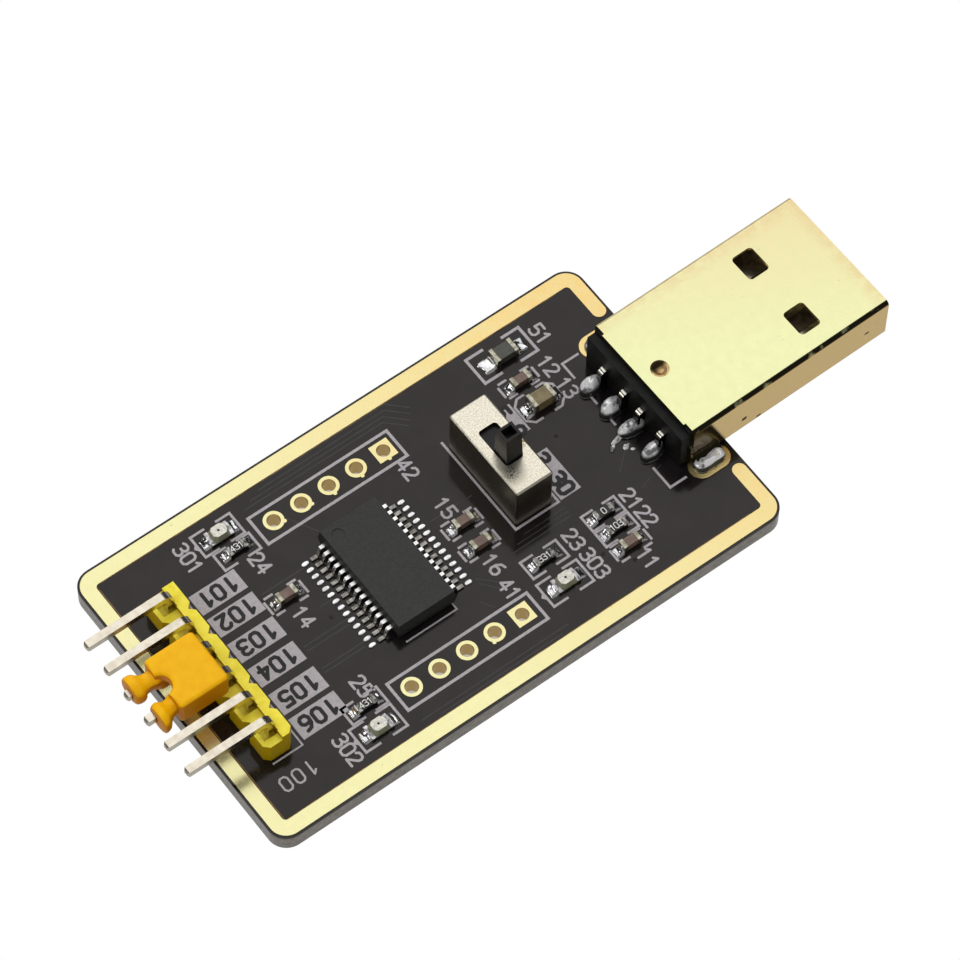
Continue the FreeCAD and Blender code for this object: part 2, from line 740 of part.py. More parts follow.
def switch_wiper():
    """A bent bridge under the slider that joins the middle terminal to one end terminal."""
    y = slider_middle_y()
    roof = slider_low_z() - WIPER_T / 2
    foot = SWITCH_BASE_T + TERMINAL_PROUD + SLIDER_PLAY + WIPER_T / 2
    reach = TERMINAL_PITCH / 2
    inner = reach - WIPER_FOOT / 2 - (roof - foot)
    points = [
        (-reach - WIPER_FOOT / 2, foot),
        (-reach + WIPER_FOOT / 2, foot),
        (-inner, roof),
        (inner, roof),
        (reach - WIPER_FOOT / 2, foot),
        (reach + WIPER_FOOT / 2, foot),
    ]
    strip = folded_strip(points, WIPER_T, -WIPER_WIDTH / 2, WIPER_WIDTH / 2)
    strip.rotate(V(0, 0, 0), UP, 90)
    strip.translate(V(SWITCH_X, y, 0))
    return strip


def chip_body():
    """A moulded body, widest at the middle of its height, where the leads leave it."""
    half_x = CHIP_WIDTH / 2
    half_y = CHIP_LENGTH / 2
    mid_z = chip_middle_z()
    low_z = SOLDER_T + CHIP_STANDOFF
    high_z = low_z + CHIP_BODY_T
    wide = (CHIP_X - half_x, CHIP_X + half_x, CHIP_Y - half_y, CHIP_Y + half_y)
    d = CHIP_DRAFT
    slim = (wide[0] + d, wide[1] - d, wide[2] + d, wide[3] - d)
    body = fused([frustum(slim, wide, low_z, mid_z), frustum(wide, slim, mid_z, high_z)])
    dimple_x = CHIP_X - half_x + CHIP_DIMPLE_EDGE
    dimple_y = CHIP_Y + half_y - CHIP_DIMPLE_EDGE
    dimple = rod(dimple_x, dimple_y, CHIP_DIMPLE_D, high_z - CHIP_DIMPLE_DEPTH, high_z)
    return body.cut(dimple)


def chip_middle_z():
    return SOLDER_T + CHIP_STANDOFF + CHIP_BODY_T / 2


def lead_places():
    middle = (LEADS_PER_SIDE - 1) / 2
    return [CHIP_Y + LEAD_PITCH * (i - middle) for i in range(LEADS_PER_SIDE)]


def chip_leads(side):
    """One side's row of gull-wing leads; side is -1 or 1 along X."""
    tip = LEAD_SPAN / 2
    foot_z = SOLDER_T + LEAD_T / 2
    shoulder_z = chip_middle_z()
    root = CHIP_WIDTH / 2
    heel = tip - LEAD_FOOT
    points = [
        (CHIP_X + side * root, shoulder_z),
        (CHIP_X + side * (root + LEAD_SHOULDER), shoulder_z),
        (CHIP_X + side * heel, foot_z),
        (CHIP_X + side * tip, foot_z),
    ]
    leads = []
    for y in lead_places():
        half = LEAD_WIDTH / 2
        leads.append(folded_strip(points, LEAD_T, y - half, y + half))
    return group(leads)


def chip_solder():
    """A film on each pad under a lead, with a fillet that rises to the lead's tip."""
    joints = []
    for side in (-1, 1):
        tip = LEAD_SPAN / 2
        outline = [
            (LEAD_PAD_INNER, 0),
            (LEAD_PAD_OUTER, 0),
            (LEAD_PAD_OUTER, SOLDER_T),
            (tip, SOLDER_T + LEAD_T),
            (tip, SOLDER_T),
            (LEAD_PAD_INNER, SOLDER_T),
        ]
        points = [(CHIP_X + side * x, z) for x, z in outline]
        for y in lead_places():
            half = LEAD_PAD_WIDTH / 2
            joints.append(extruded_outline(points, y - half, y + half))
    return group(joints)


def shell_outline_slab(u0, u1, inset):
    """The plug's cross-section as a slab along u, drawn in by inset on every side."""
    half_v = SHELL_WIDTH / 2 - inset
    shape = slab(u0, u1, -half_v, half_v, inset, SHELL_HEIGHT - inset)
    long_edges = [e for e in shape.Edges if abs(e.tangentAt(e.FirstParameter).x) > ALONG]
    radius = SHELL_EDGE_R - inset
    if radius > 0:
        shape = shape.makeFillet(radius, long_edges)
    return shape


def dimple_punch(extra):
    """The tapered punch that presses the dimple into the shell's top, grown by extra."""
    low_z = SHELL_HEIGHT - DIMPLE_DEPTH - extra
    floor_d = DIMPLE_FLOOR_D + 2 * extra
    mouth_d = DIMPLE_D + 2 * extra
    return flat_sided(DIMPLE_FROM_REAR, 0, floor_d, mouth_d, low_z, SHELL_HEIGHT)


def shell_tab(side):
    """A solder tab: it leaves the side wall, steps out over its pad and goes through the slot."""
    wall_v = SHELL_WIDTH / 2 - SHELL_T / 2
    low = PIN_TAIL_Z - SEAT
    points = [
        (wall_v, TAB_TOP + SHELL_T),
        (wall_v, TAB_TOP),
        (TAB_LEG_V, TAB_FOOT_TOP),
        (TAB_LEG_V, low),
    ]
    tab = bent_strip(points, SHELL_T, TAB_BEND_R, 0, TAB_LENGTH)
    tab.rotate(V(0, 0, 0), UP, 90)
    if side > 0:
        tab.translate(V(TAB_FROM_REAR + TAB_LENGTH, 0, 0))
    else:
        tab = tab.mirror(V(0, 0, 0), V(0, 1, 0))
        tab.translate(V(TAB_FROM_REAR + TAB_LENGTH, 0, 0))
    return tab


def window(u, v, z0, z1):
    half_u = WINDOW_LENGTH / 2
    half_v = WINDOW_WIDTH / 2
    return rounded_slab(u - half_u, u + half_u, v - half_v, v + half_v, z0, z1, WINDOW_R)


def usb_shell():
    """A folded steel tube: windows in both broad faces, a pressed dimple that holds the
    insulator, small slits in the side walls and a solder tab on each side."""
    tube = shell_outline_slab(0, SHELL_LENGTH, 0)
    tube = tube.cut(shell_outline_slab(0, SHELL_LENGTH, SHELL_T))
    shell = fused([tube, dimple_punch(SHELL_T), shell_tab(-1), shell_tab(1)])
    cuts = [dimple_punch(0)]
    window_u = SHELL_LENGTH - WINDOW_FROM_MOUTH - WINDOW_LENGTH / 2
    for v in (-WINDOW_OFFSET_V, WINDOW_OFFSET_V):
        cuts.append(window(window_u, v, SHELL_HEIGHT - SHELL_T, SHELL_HEIGHT))
        cuts.append(window(window_u, v, 0, SHELL_T))
    half_v = SHELL_WIDTH / 2
    openings = [(SIDE_HOLE_PLACE, SIDE_HOLE)]
    for place in SLIT_PLACES + ((SHELL_LENGTH - SLIT_FROM_MOUTH, SLIT_HIGH_Z),):
        openings.append((place, SLIT))
    for side in (-1, 1):
        step_v = side * (half_v - SHELL_STEP_WIDTH / 2)
        v0 = step_v - SHELL_STEP_WIDTH / 2
        cuts.append(slab(0, SHELL_STEP, v0, v0 + SHELL_STEP_WIDTH, SHELL_HEIGHT / 2, SHELL_HEIGHT))
        wall_v = side * (half_v - SHELL_T / 2)
        for (u, z), (length, height) in openings:
            v0 = wall_v - SHELL_T / 2
            cuts.append(slab(u, u + length, v0, v0 + SHELL_T, z, z + height))
    return shell.cut(group(cuts))


def contact_places():
    return [-CONTACT_OUTER_V, -CONTACT_INNER_V, CONTACT_INNER_V, CONTACT_OUTER_V]


def tongue_top():
    return SHELL_T + TONGUE_T


def contact_points():
    """Middle line of a contact: along the tongue, out at the back and down to its pad."""
    level = tongue_top() + CONTACT_PROUD - CONTACT_T / 2
    foot_z = CONTACT_T / 2
    drop_u = -PLUG_BACK_PROUD - CONTACT_DROP_U
    return [
        (SHELL_LENGTH - CONTACT_SET_BACK, level),
        (drop_u, level),
        (drop_u, foot_z),
        (drop_u - CONTACT_FOOT, foot_z),
    ]


def usb_contact(v):
    """A wide blade on the tongue that narrows to its tail inside the insulator."""
    half = CONTACT_WIDTH / 2
    strip = bent_strip(contact_points(), CONTACT_T, CONTACT_BEND_R, v - half, v + half)
    rear = contact_points()[-1][0]
    for side in (-1, 1):
        edges = sorted((v + side * TAIL_WIDTH / 2, v + side * half))
        strip = strip.cut(slab(rear, TAIL_FROM_REAR, *edges, 0, SHELL_HEIGHT))
    return strip


def usb_insulator():
    """A moulded block that closes the shell's rear and carries the tongue. The contacts lie in
    grooves on the tongue and leave through slots in the rear."""
    back = shell_outline_slab(0, PLUG_BACK_LENGTH, SHELL_T)
    half_v = SHELL_WIDTH / 2 - SHELL_T
    top = SHELL_HEIGHT - SHELL_T - PLUG_BACK_TOP_DROP
    proud = slab(-PLUG_BACK_PROUD, 0, -half_v, half_v, 0, top)
    tongue_v = half_v - TONGUE_SIDE_GAP
    front = SHELL_LENGTH - TONGUE_SET_BACK
    tongue = slab(PLUG_BACK_LENGTH, front, -tongue_v, tongue_v, SHELL_T, tongue_top())
    block = fused([back, proud, tongue])
    cuts = [dimple_punch(SHELL_T)]
    slot_top = tongue_top() + CONTACT_PROUD + TAIL_SLOT_PLAY
    for v in contact_places():
        cuts.append(usb_contact(v))
        slot_half = TAIL_WIDTH / 2 + TAIL_SLOT_PLAY
        cuts.append(slab(-PLUG_BACK_PROUD, 0, v - slot_half, v + slot_half, 0, slot_top))
    return block.cut(group(cuts))


def contact_blob(v):
    """A heap of solder over a contact's foot."""
    u = -PLUG_BACK_PROUD - CONTACT_DROP_U - CONTACT_FOOT / 2 - CONTACT_T / 2
    rectangles = []
    for length, width in (BLOB_FOOT, BLOB_TOP):
        rectangles.append((u - length / 2, u + length / 2, v - width / 2, v + width / 2))
    return frustum(*rectangles, -SEAT, BLOB_HEIGHT - SEAT).cut(usb_contact(v))


def tab_solder(x, y, tab):
    """Solder that fills a tab's slot and stands a little proud on both faces."""
    low = BOARD_UNDERSIDE - COPPER_T - TAB_MENISCUS
    high = COPPER_T + TAB_MENISCUS
    fill = stadium(x, y, TAB_SLOT_LENGTH, TAB_SLOT_WIDTH, low, high)
    plug = seat_plug(shell_outline_slab(0, SHELL_LENGTH, 0))
    return fill.cut(plug).cut(tab)


def component_block(place, size, base_z):
    x, y = place
    length, width, height = size
    half_x = length / 2
    half_y = width / 2
    return slab(x - half_x, x + half_x, y - half_y, y + half_y, base_z, base_z + height)


def component_body(place, size):
    """The part of a chip component between and inside its end caps."""
    length, width, height = size
    core = (length - 2 * CAP_T, width - 2 * CAP_T, height - 2 * CAP_T)
    return component_block(place, core, SOLDER_T + CAP_T)


def component_caps(place, size):
    """Two metal caps that wrap five sides of a chip component's ends."""
    length, width, height = size
    full = component_block(place, size, SOLDER_T)
    waist = length / 2 - CAP_WRAP
    middle = component_block(place, (2 * waist, width, height), SOLDER_T)
    return full.cut(middle).cut(component_body(place, size))


def component_joints(place, size, toe):
    """The solder under a component's ends, each with a fillet that climbs its end cap."""
    x, y = place
    length, width, height = size
    half = length / 2
    climb = SOLDER_T + height * TOE_CLIMB
    joints = []
    for side in (-1, 1):
        outline = [
            (half - CAP_WRAP, 0),
            (half + toe, 0),
            (half + toe * TOE_KNEE, climb * TOE_KNEE),
            (half, climb),
            (half, SOLDER_T),
            (half - CAP_WRAP, SOLDER_T),
        ]
        points = [(x + side * px, pz) for px, pz in outline]
        joints.append(extruded_outline(points, y - width / 2, y + width / 2))
    return joints


def led_lens(place):
    """A clear lens with sloping sides and cut corners on the LED's base."""
    x, y = place
    length, width, height = LED_LENS
    base_z = SOLDER_T + LED_BASE[2]
    d = LED_LENS_DRAFT
    low = (x - length / 2, x + length / 2, y - width / 2, y + width / 2)
    high = (low[0] + d, low[1] - d, low[2] + d, low[3] - d)
    lens = frustum(low, high, base_z, base_z + height)
    rising = [e for e in lens.Edges if abs(e.tangentAt(e.FirstParameter).z) > 0.5]
    return lens.makeChamfer(LED_LENS_CORNER, rising)


def build_nodes():
    """Every piece of the module in the board's frame, by name."""
    nodes = {}
    nodes["circuit_board"] = circuit_board()
    nodes["edge_band_top"] = edge_band(0)
    nodes["edge_band_bottom"] = edge_band(BOARD_UNDERSIDE - COPPER_T)
    nodes["pin_row_plating_near"] = row_plating(-1)
    nodes["pin_row_plating_far"] = row_plating(1)
    nodes["usb_tab_pads"] = tab_pads()

    nodes["header_housing"] = header_housing()
    header_cones = []
    for i, (x, y) in enumerate(header_holes()):
        pin = header_pin(x, y)
        nodes[f"header_pin_{i + 1}"] = pin
        header_cones.append(solder_cone(x, y, HEADER_HOLE_D, HEADER_RING_D, CONE_HEIGHT, pin))
    nodes["header_solder"] = group(header_cones)
    nodes["jumper_housing"] = jumper_housing()
    nodes["jumper_contact"] = jumper_contact()

    nodes["switch_case"] = switch_case()
    nodes["switch_base"] = switch_base()
    nodes["switch_slider"] = switch_slider()
    nodes["switch_wiper"] = switch_wiper()
    switch_cones = []
    for i, (x, y) in enumerate(switch_holes()):
        terminal = switch_terminal(x, y)
        nodes[f"switch_terminal_{i + 1}"] = terminal
        switch_cones.append(
            solder_cone(x, y, TERMINAL_HOLE_D, TERMINAL_RING_D, TERMINAL_CONE_HEIGHT, terminal)
        )
    nodes["switch_solder"] = group(switch_cones)

    nodes["chip_body"] = chip_body()
    nodes["chip_leads_left"] = chip_leads(-1)
    nodes["chip_leads_right"] = chip_leads(1)
    nodes["chip_lead_solder"] = chip_solder()

    nodes["usb_shell"] = seat_plug(usb_shell())
    nodes["usb_insulator"] = seat_plug(usb_insulator())
    for i, v in enumerate(contact_places()):
        nodes[f"usb_contact_{i + 1}"] = seat_plug(usb_contact(v))
    nodes["usb_contact_solder"] = seat_plug(group([contact_blob(v) for v in contact_places()]))
    tab_joints = []
    for (x, y), side in zip(tab_places(), (-1, 1)):
        tab_joints.append(tab_solder(x, y, seat_plug(shell_tab(side))))
    nodes["usb_tab_solder"] = group(tab_joints)

    capacitors = [(place, SMALL_CAPACITOR, SMALL_TOE) for place in SMALL_CAPACITOR_PLACES]
    capacitors.append((LARGE_CAPACITOR_PLACE, LARGE_CAPACITOR, LARGE_TOE))
    resistors = [(place, RESISTOR, SMALL_TOE) for place in RESISTOR_PLACES]
    ferrites = [(FERRITE_PLACE, FERRITE, LARGE_TOE)]
    leds = [(place, LED_BASE, LARGE_TOE) for place in LED_PLACES]
    joints = []
    for name, members in (
        ("capacitor", capacitors),
        ("resistor", resistors),
        ("ferrite", ferrites),
        ("led", leds),
    ):
        caps = []
        for i, (place, size, toe) in enumerate(members):
            number = f"_{i + 1}" if len(members) > 1 else "_bead"
            nodes[name + number] = component_body(place, size)
            caps.append(component_caps(place, size))
            joints.extend(component_joints(place, size, toe))
        nodes[name + "_terminals"] = group(caps)
    nodes["led_lenses"] = group([led_lens(place) for place in LED_PLACES])
    nodes["component_solder"] = group(joints)
    return nodes


def overall_box(shapes):
    box = FreeCAD.BoundBox()
    for shape in shapes:
        box.add(shape.optimalBoundingBox(False))
    return box


def write_parts():
    nodes = build_nodes()
    box = overall_box(nodes.values())
    shift = V(-box.Center.x, -box.Center.y, -box.ZMin)
    os.makedirs("parts", exist_ok=True)
    for name, shape in nodes.items():
        shape.translate(shift)
        shape.exportStep(f"parts/{name}.step")
    print("nodes", len(nodes))
    print("overall", round(box.XLength, 3), round(box.YLength, 3), round(box.ZLength, 3))
    print("shift", round(shift.x, 4), round(shift.y, 4), round(shift.z, 4))


write_parts()
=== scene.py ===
import math

import bpy
from mathutils import Matrix, Vector, noise


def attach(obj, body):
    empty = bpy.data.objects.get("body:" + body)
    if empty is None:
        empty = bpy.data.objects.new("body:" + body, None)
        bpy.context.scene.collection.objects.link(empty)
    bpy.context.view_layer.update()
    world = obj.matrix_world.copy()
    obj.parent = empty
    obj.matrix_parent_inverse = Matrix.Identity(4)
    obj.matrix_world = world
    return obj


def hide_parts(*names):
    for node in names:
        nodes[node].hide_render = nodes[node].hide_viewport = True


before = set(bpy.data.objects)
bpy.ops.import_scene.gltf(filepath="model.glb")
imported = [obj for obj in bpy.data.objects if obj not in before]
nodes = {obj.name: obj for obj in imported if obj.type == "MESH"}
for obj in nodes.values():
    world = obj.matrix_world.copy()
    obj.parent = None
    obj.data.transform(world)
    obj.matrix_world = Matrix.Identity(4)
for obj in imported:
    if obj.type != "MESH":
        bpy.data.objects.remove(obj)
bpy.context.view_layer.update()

MM = 0.001
scene = bpy.context.scene

# Camera, from the photograph: angles in degrees, focal length and frame in pixels, the rest in mm
CAMERA_AZ = -37.978
CAMERA_EL = 60.398
CAMERA_ROLL = 1.3515
CAMERA_FOCAL = 5234.7
CAMERA_FRAME = 960
CAMERA_SENSOR = 36
CAMERA_DISTANCE = 393.27
CAMERA_TARGET = Vector((0.1521, 2.3396, 2.7))
CAMERA_NEAR = 10
CAMERA_FAR = 10000

# Places on the board are measured from the first empty hole of the near row, on the board's top
# face, in mm. LAYOUT is the place of that hole in the frame's own coordinates
BOARD_TOP_Z = 2.7
LAYOUT = Vector((-14.3659, -8.65, BOARD_TOP_Z))
BOARD_T = 1.6
BOARD_PLUG_END = 29.0
BOARD_PIN_END = -13.82
BOARD_NEAR = -3.36
BOARD_FAR = 20.66
PITCH = 2.54

# Copper: the plated holes in two rows, with the directions of their nubs in degrees, and the
# plated slots of the plug's tabs
COPPER_T = 0.05
HOLE_R = 0.55
RING_R = 0.825
RING_POINTS = 48
SQUARE_RING = 4
NEAR_ROW_Y = -0.04
FAR_ROW_Y = 17.34
NEAR_NUBS = (None, None, None, -128, None)
FAR_NUBS = (-38, -41, -90, -90, -90)
NUB_REACH = (0.7, 0.83)
NUB_WIDTH = 0.32
TAB_PADS = ((29.156, 15.26), (29.364, 2.022))
TAB_SLOT = (2.75, 1.3)
TAB_PAD_MARGIN = 0.4

# Middles of the chip components
SMALL_CAPACITORS = ((20.2, -0.1), (22.05, 15.95), (-3.02, 11.45), (11.2, 8.7), (11.17, 6.48))
LARGE_CAPACITOR = (22.25, 13.62)
RESISTORS = ((20.2, 3.15), (20.2, 1.6), (14.25, 2.65), (-3.65, 16.95), (-3.65, 0.7))
RESISTOR_CODES = ("0", "103", "331", "431", "431")
FERRITE = (22.45, 18.62)
LEDS = ((-4.0, 18.75), (-3.95, -1.35), (14.4, 0.22))
RESISTOR_TOP = 0.54
LENS_TOP = 0.84

# The big chip's middle and its leads
CHIP = (4.15, 8.7)
CHIP_LEADS = 14
CHIP_LEAD_PITCH = 0.65
CHIP_FOOT_X = 4.42

# The jumper cap
JUMPER_RIGHT = -11.62
JUMPER_LEFT = -15.98
JUMPER_Y = 8.8
JUMPER_Z = 3.78
JUMPER_HALF_Y = 2.42
JUMPER_HALF_Z = 1.25
JUMPER_CORNER = 0.36
JUMPER_EDGE = 0.34
NOTCH_X = -16.08
NOTCH_R = 0.86
NOTCH_HALF_ANGLE = 83
PIN_BORE = 0.4

# The punched pit in the plug's top
DIMPLE = (29.56, 8.646)
DIMPLE_TOP = 4.55

# Printing: heights of the layers, and the steps that keep them clear of each other
INK_TOP = 0.02
LABEL_TOP = 0.03
PAINT_T = 0.008
LINE_GAP = 0.0004
STROKE_GAP = 0.0048
INK_LINE = 0.2
HEAVY_LINE = 0.24

# Light: levels of the room and the table, where 1 is white
ROOM_LIGHT = 0.56
ROOM_REFLECTION = 0.015
FRONT_REFLECTION = 0.28
TABLE_REFLECTION = 0.5
TABLE_COLOUR = (0.75, 0.74, 0.72, 1)
UNDER_BOARD = (0.5, 0.45, 0.4)
WHITE = (1.0, 1.0, 1.0)


def aim_camera():
    """The camera that took the photograph."""
    az = math.radians(CAMERA_AZ)
    el = math.radians(CAMERA_EL)
    roll = math.radians(CAMERA_ROLL)
    back = Vector((math.sin(az) * math.cos(el), -math.cos(az) * math.cos(el), math.sin(el)))
    level = Vector((math.cos(az), math.sin(az), 0))
    upward = back.cross(level)
    right = math.cos(roll) * level + math.sin(roll) * upward
    above = -math.sin(roll) * level + math.cos(roll) * upward
    place = (CAMERA_TARGET + back * CAMERA_DISTANCE) * MM
    data = bpy.data.cameras.new("camera")
    data.sensor_width = CAMERA_SENSOR
    data.lens = CAMERA_FOCAL / CAMERA_FRAME * CAMERA_SENSOR
    data.clip_start = CAMERA_NEAR * MM
    data.clip_end = CAMERA_FAR * MM
    camera = bpy.data.objects.new("camera", data)
    turned = Matrix((right, above, back)).transposed().to_4x4()
    camera.matrix_world = Matrix.Translation(place) @ turned
    bpy.context.collection.objects.link(camera)
    scene.camera = camera


# Materials. Colours are linear; texture scales are per millimetre

BLACK = ((0.004, 0.004, 0.0035), (0.009, 0.0085, 0.008))
SOFT_RADIUS = (0.001, 0.0008, 0.0003)

# The finishes by their names. The frame has materials of the same names, which aren't these
materials = {}

# Sockets of the mix node that carry colours
MIX_FACTOR = 0
MIX_FIRST = 6
MIX_SECOND = 7
MIX_RESULT = 2


def feed(tree, node, inputs):
    """Gives each named input of a node its value or links the output that feeds it."""
    for name, value in inputs.items():
        if isinstance(value, bpy.types.NodeSocket):
            tree.links.new(value, node.inputs[name])
        else:
            node.inputs[name].default_value = value


def add_node(tree, kind, inputs, **settings):
    node = tree.nodes.new("ShaderNode" + kind)
    for name, value in settings.items():
        setattr(node, name, value)
    feed(tree, node, inputs)
    return node


def shader(name, roughness, metallic=0.0, specular=0.5, subsurface=0.0):
    """A new finish; returns its node tree, its shader node and its coordinates in mm."""
    material = bpy.data.materials.new(name)
    material.use_nodes = True
    materials[name] = material
    tree = material.node_tree
    bsdf = tree.nodes["Principled BSDF"]
    inputs = {
        "Roughness": roughness,
        "Metallic": metallic,
        "Specular IOR Level": specular,
        "Subsurface Weight": subsurface,
        "Subsurface Radius": SOFT_RADIUS,
    }
    feed(tree, bsdf, inputs)
    place = add_node(tree, "TexCoord", {}).outputs["Object"]
    scaled = add_node(tree, "Mapping", {"Vector": place, "Scale": (1 / MM, 1 / MM, 1 / MM)})
    return tree, bsdf, scaled.outputs["Vector"]


def noisy(tree, place, scale, low=0.35, high=0.65, detail=3.0):
    """A cloudy value from 0 to 1."""
    cloud = add_node(tree, "TexNoise", {"Vector": place, "Scale": scale, "Detail": detail})
    return spread(tree, cloud.outputs["Fac"], low, high)


def spread(tree, value, low, high):
    """value stretched so that low becomes 0 and high becomes 1."""
    node = add_node(tree, "MapRange", {"Value": value, "From Min": low, "From Max": high})
    return node.outputs["Result"]


def math_node(tree, operation, first, second=0.0):
    return add_node(tree, "Math", {0: first, 1: second}, operation=operation).outputs["Value"]


def mixed(tree, factor, first, second):
    """first where factor is 0 and second where it is 1; each is a colour or an output."""
    ends = [value + (1,) if isinstance(value, tuple) else value for value in (first, second)]
    inputs = {MIX_FACTOR: factor, MIX_FIRST: ends[0], MIX_SECOND: ends[1]}
    return add_node(tree, "Mix", inputs, data_type="RGBA").outputs[MIX_RESULT]


def ramp(tree, place, axis, low, high):
    """0 where one coordinate of a place is low and 1 where it is high."""
    return spread(tree, axis_value(tree, place, axis), low, high)


def axis_value(tree, place, axis):
    return add_node(tree, "SeparateXYZ", {"Vector": place}).outputs[axis]


def along(tree, place, direction):
    """How far a place is along a direction."""
    inputs = {0: place, 1: direction}
    return add_node(tree, "VectorMath", inputs, operation="DOT_PRODUCT").outputs["Value"]


def product(tree, *values):
    """All the values multiplied together."""
    result = values[0]
    for value in values[1:]:
        result = math_node(tree, "MULTIPLY", result, value)
    return result


def stained(tree, base, colour, *shares):
    """base, with colour over it as far as all the shares allow."""
    return mixed(tree, product(tree, *shares), base, colour)


def bumped(tree, bsdf, value, height):
    """Raises the surface a little by value; height is in millimetres."""
    inputs = {"Strength": 1.0, "Distance": height * MM, "Height": value}
    feed(tree, bsdf, {"Normal": add_node(tree, "Bump", inputs).outputs["Normal"]})


def mottled(name, dark, light, scale, roughness, bump=0.0, side=None, span=(0.35, 0.65), **settings):
    """A material that wanders between two colours; side is the colour of its upright faces, a painted
    shade darker than its level faces.
    """
    tree, bsdf, place = shader(name, roughness, **settings)
    cloud = noisy(tree, place, scale, *span)
    base = mixed(tree, cloud, dark, light)
    if side:
        base = mixed(tree, faces_up(tree), side, base)
    feed(tree, bsdf, {"Base Color": base})
    if bump:
        bumped(tree, bsdf, cloud, bump)


def upright_share(tree):
    """How far a face is from upright: 1 where it is level and 0 where it is upright."""
    normal = add_node(tree, "TexCoord", {}).outputs["Normal"]
    return math_node(tree, "ABSOLUTE", axis_value(tree, normal, "Z"))


def faces_up(tree):
    """1 on level faces and 0 on upright ones, with a short step between."""
    return spread(tree, upright_share(tree), 0.35, 0.6)


def insulator_material():
    """Black where it shows behind the shell, browner inside, where gold light reaches it."""
    tree, bsdf, place = shader("insulator_plastic", 0.42, specular=0.18)
    cloud = noisy(tree, place, 1.5)
    outside = mixed(tree, cloud, *BLACK)
    inside = mixed(tree, cloud, (0.05, 0.034, 0.018), (0.13, 0.1, 0.065))
    depth = ramp(tree, place, "X", 15.0, 18.0)
    feed(tree, bsdf, {"Base Color": mixed(tree, depth, outside, inside)})


def pit_material():
    """The gold of the punched pit: tan on the near side and in its own shade on the far one."""
    tree, bsdf, place = shader("pit_gold", 0.42, metallic=0.9)
    cloud = noisy(tree, place, 3.0)
    tan = mixed(tree, cloud, (0.5, 0.3, 0.1), (0.85, 0.6, 0.3))
    far = ramp(tree, place, "Y", -0.15, 0.3)
    feed(tree, bsdf, {"Base Color": mixed(tree, far, tan, (0.05, 0.03, 0.012))})


def lead_material():
    """Tinned leads, bright on the shoulder and darker at the foot, a painted shade near the board."""
    tree, bsdf, place = shader("lead_metal", 0.22, metallic=1.0)
    cloud = noisy(tree, place, 2.5)
    bright = mixed(tree, cloud, (0.75, 0.74, 0.72), (0.95, 0.95, 0.93))
    # dull: painted shade at the foot, near the board
    dull = mixed(tree, cloud, (0.16, 0.15, 0.13), (0.4, 0.39, 0.36))
    raised = ramp(tree, place, "Z", BOARD_TOP_Z + 0.25, BOARD_TOP_Z + 0.6)
    feed(tree, bsdf, {"Base Color": mixed(tree, raised, dull, bright)})


def mask_material():
    """Black mask with a faint weave on the two faces, bare glass fibre board at the edge."""
    tree, bsdf, place = shader("solder_mask", 0.13, specular=0.41)
    feed(tree, bsdf, {"Specular Tint": (1.0, 0.94, 0.88, 1)})
    cloud = noisy(tree, place, 0.5)
    top = mixed(tree, cloud, (0.0065, 0.0055, 0.0055), (0.0105, 0.009, 0.009))
    fibre = noisy(tree, place, 3.0, detail=6.0)
    edge = mixed(tree, fibre, (0.16, 0.145, 0.125), (0.24, 0.225, 0.2))
    under_mask = ramp(tree, place, "Z", BOARD_TOP_Z - 0.2, BOARD_TOP_Z - 0.08)
    edge = mixed(tree, under_mask, edge, (0.02, 0.014, 0.008))
    feed(tree, bsdf, {"Base Color": mixed(tree, faces_up(tree), edge, top)})
    weave = add_node(tree, "TexVoronoi", {"Vector": place, "Scale": 1.6, "Randomness": 0.25})
    bumped(tree, bsdf, weave.outputs["Distance"], 0.004)


def gilt_material(
    name, pale, warm, side, slope, span, roughness, bump, worn=(), shade=(), fold_reflection=False
):
    """Gold plating: pale to warm over a span along slope, side on upright walls as painted
    reflection, a few specks. Each of worn is an axis and a span over which the face gets tan;
    shade is a direction and a span over which upright faces get a painted dark reflection of the
    board. The last flag paints a dark reflection along the near fold."""
    tree, bsdf, place = shader(name, roughness, metallic=0.85)
    base = mixed(tree, spread(tree, along(tree, place, slope), *span), pale, warm)
    cloud = noisy(tree, place, 1.1)
    dull = tuple(c * 0.9 for c in pale)
    base = stained(tree, base, dull, cloud, 0.3)
    speck = noisy(tree, place, 5.0, 0.72, 0.78, detail=2.0)
    base = stained(tree, base, (0.3, 0.18, 0.06), speck, 0.5)
    for axis, low, high in worn:
        rubbed = ramp(tree, place, axis, low, high)
        patch = noisy(tree, place, 1.3, 0.3, 0.6, detail=6.0)
        base = stained(tree, base, (0.75, 0.56, 0.29), rubbed, patch, 0.8)
    # The side colour on upright walls is painted reflection: darker on the plating, warmer on the plug
    base = mixed(tree, faces_up(tree), side, base)
    # Painted dark reflection of the black board on upright walls, bounded along the shade direction
    if shade:
        direction, low, high = shade
        board_reflection = spread(tree, along(tree, place, direction), low, high)
        walls = math_node(tree, "SUBTRACT", 1.0, faces_up(tree))
        base = stained(tree, base, (0.05, 0.036, 0.008), board_reflection, walls, 0.9)
    # Painted dark reflection along the near fold, mottled
    if fold_reflection:
        level = upright_share(tree)
        bent = product(tree, spread(tree, level, 0.99, 0.95), spread(tree, level, 0.2, 0.3))
        near = ramp(tree, place, "Y", 0.0, -1.0)
        patch = noisy(tree, place, 1.1, 0.2, 0.42, detail=8.0)
        base = stained(tree, base, (0.02, 0.016, 0.006), bent, near, patch)
    feed(tree, bsdf, {"Base Color": base})
    bumped(tree, bsdf, cloud, bump)


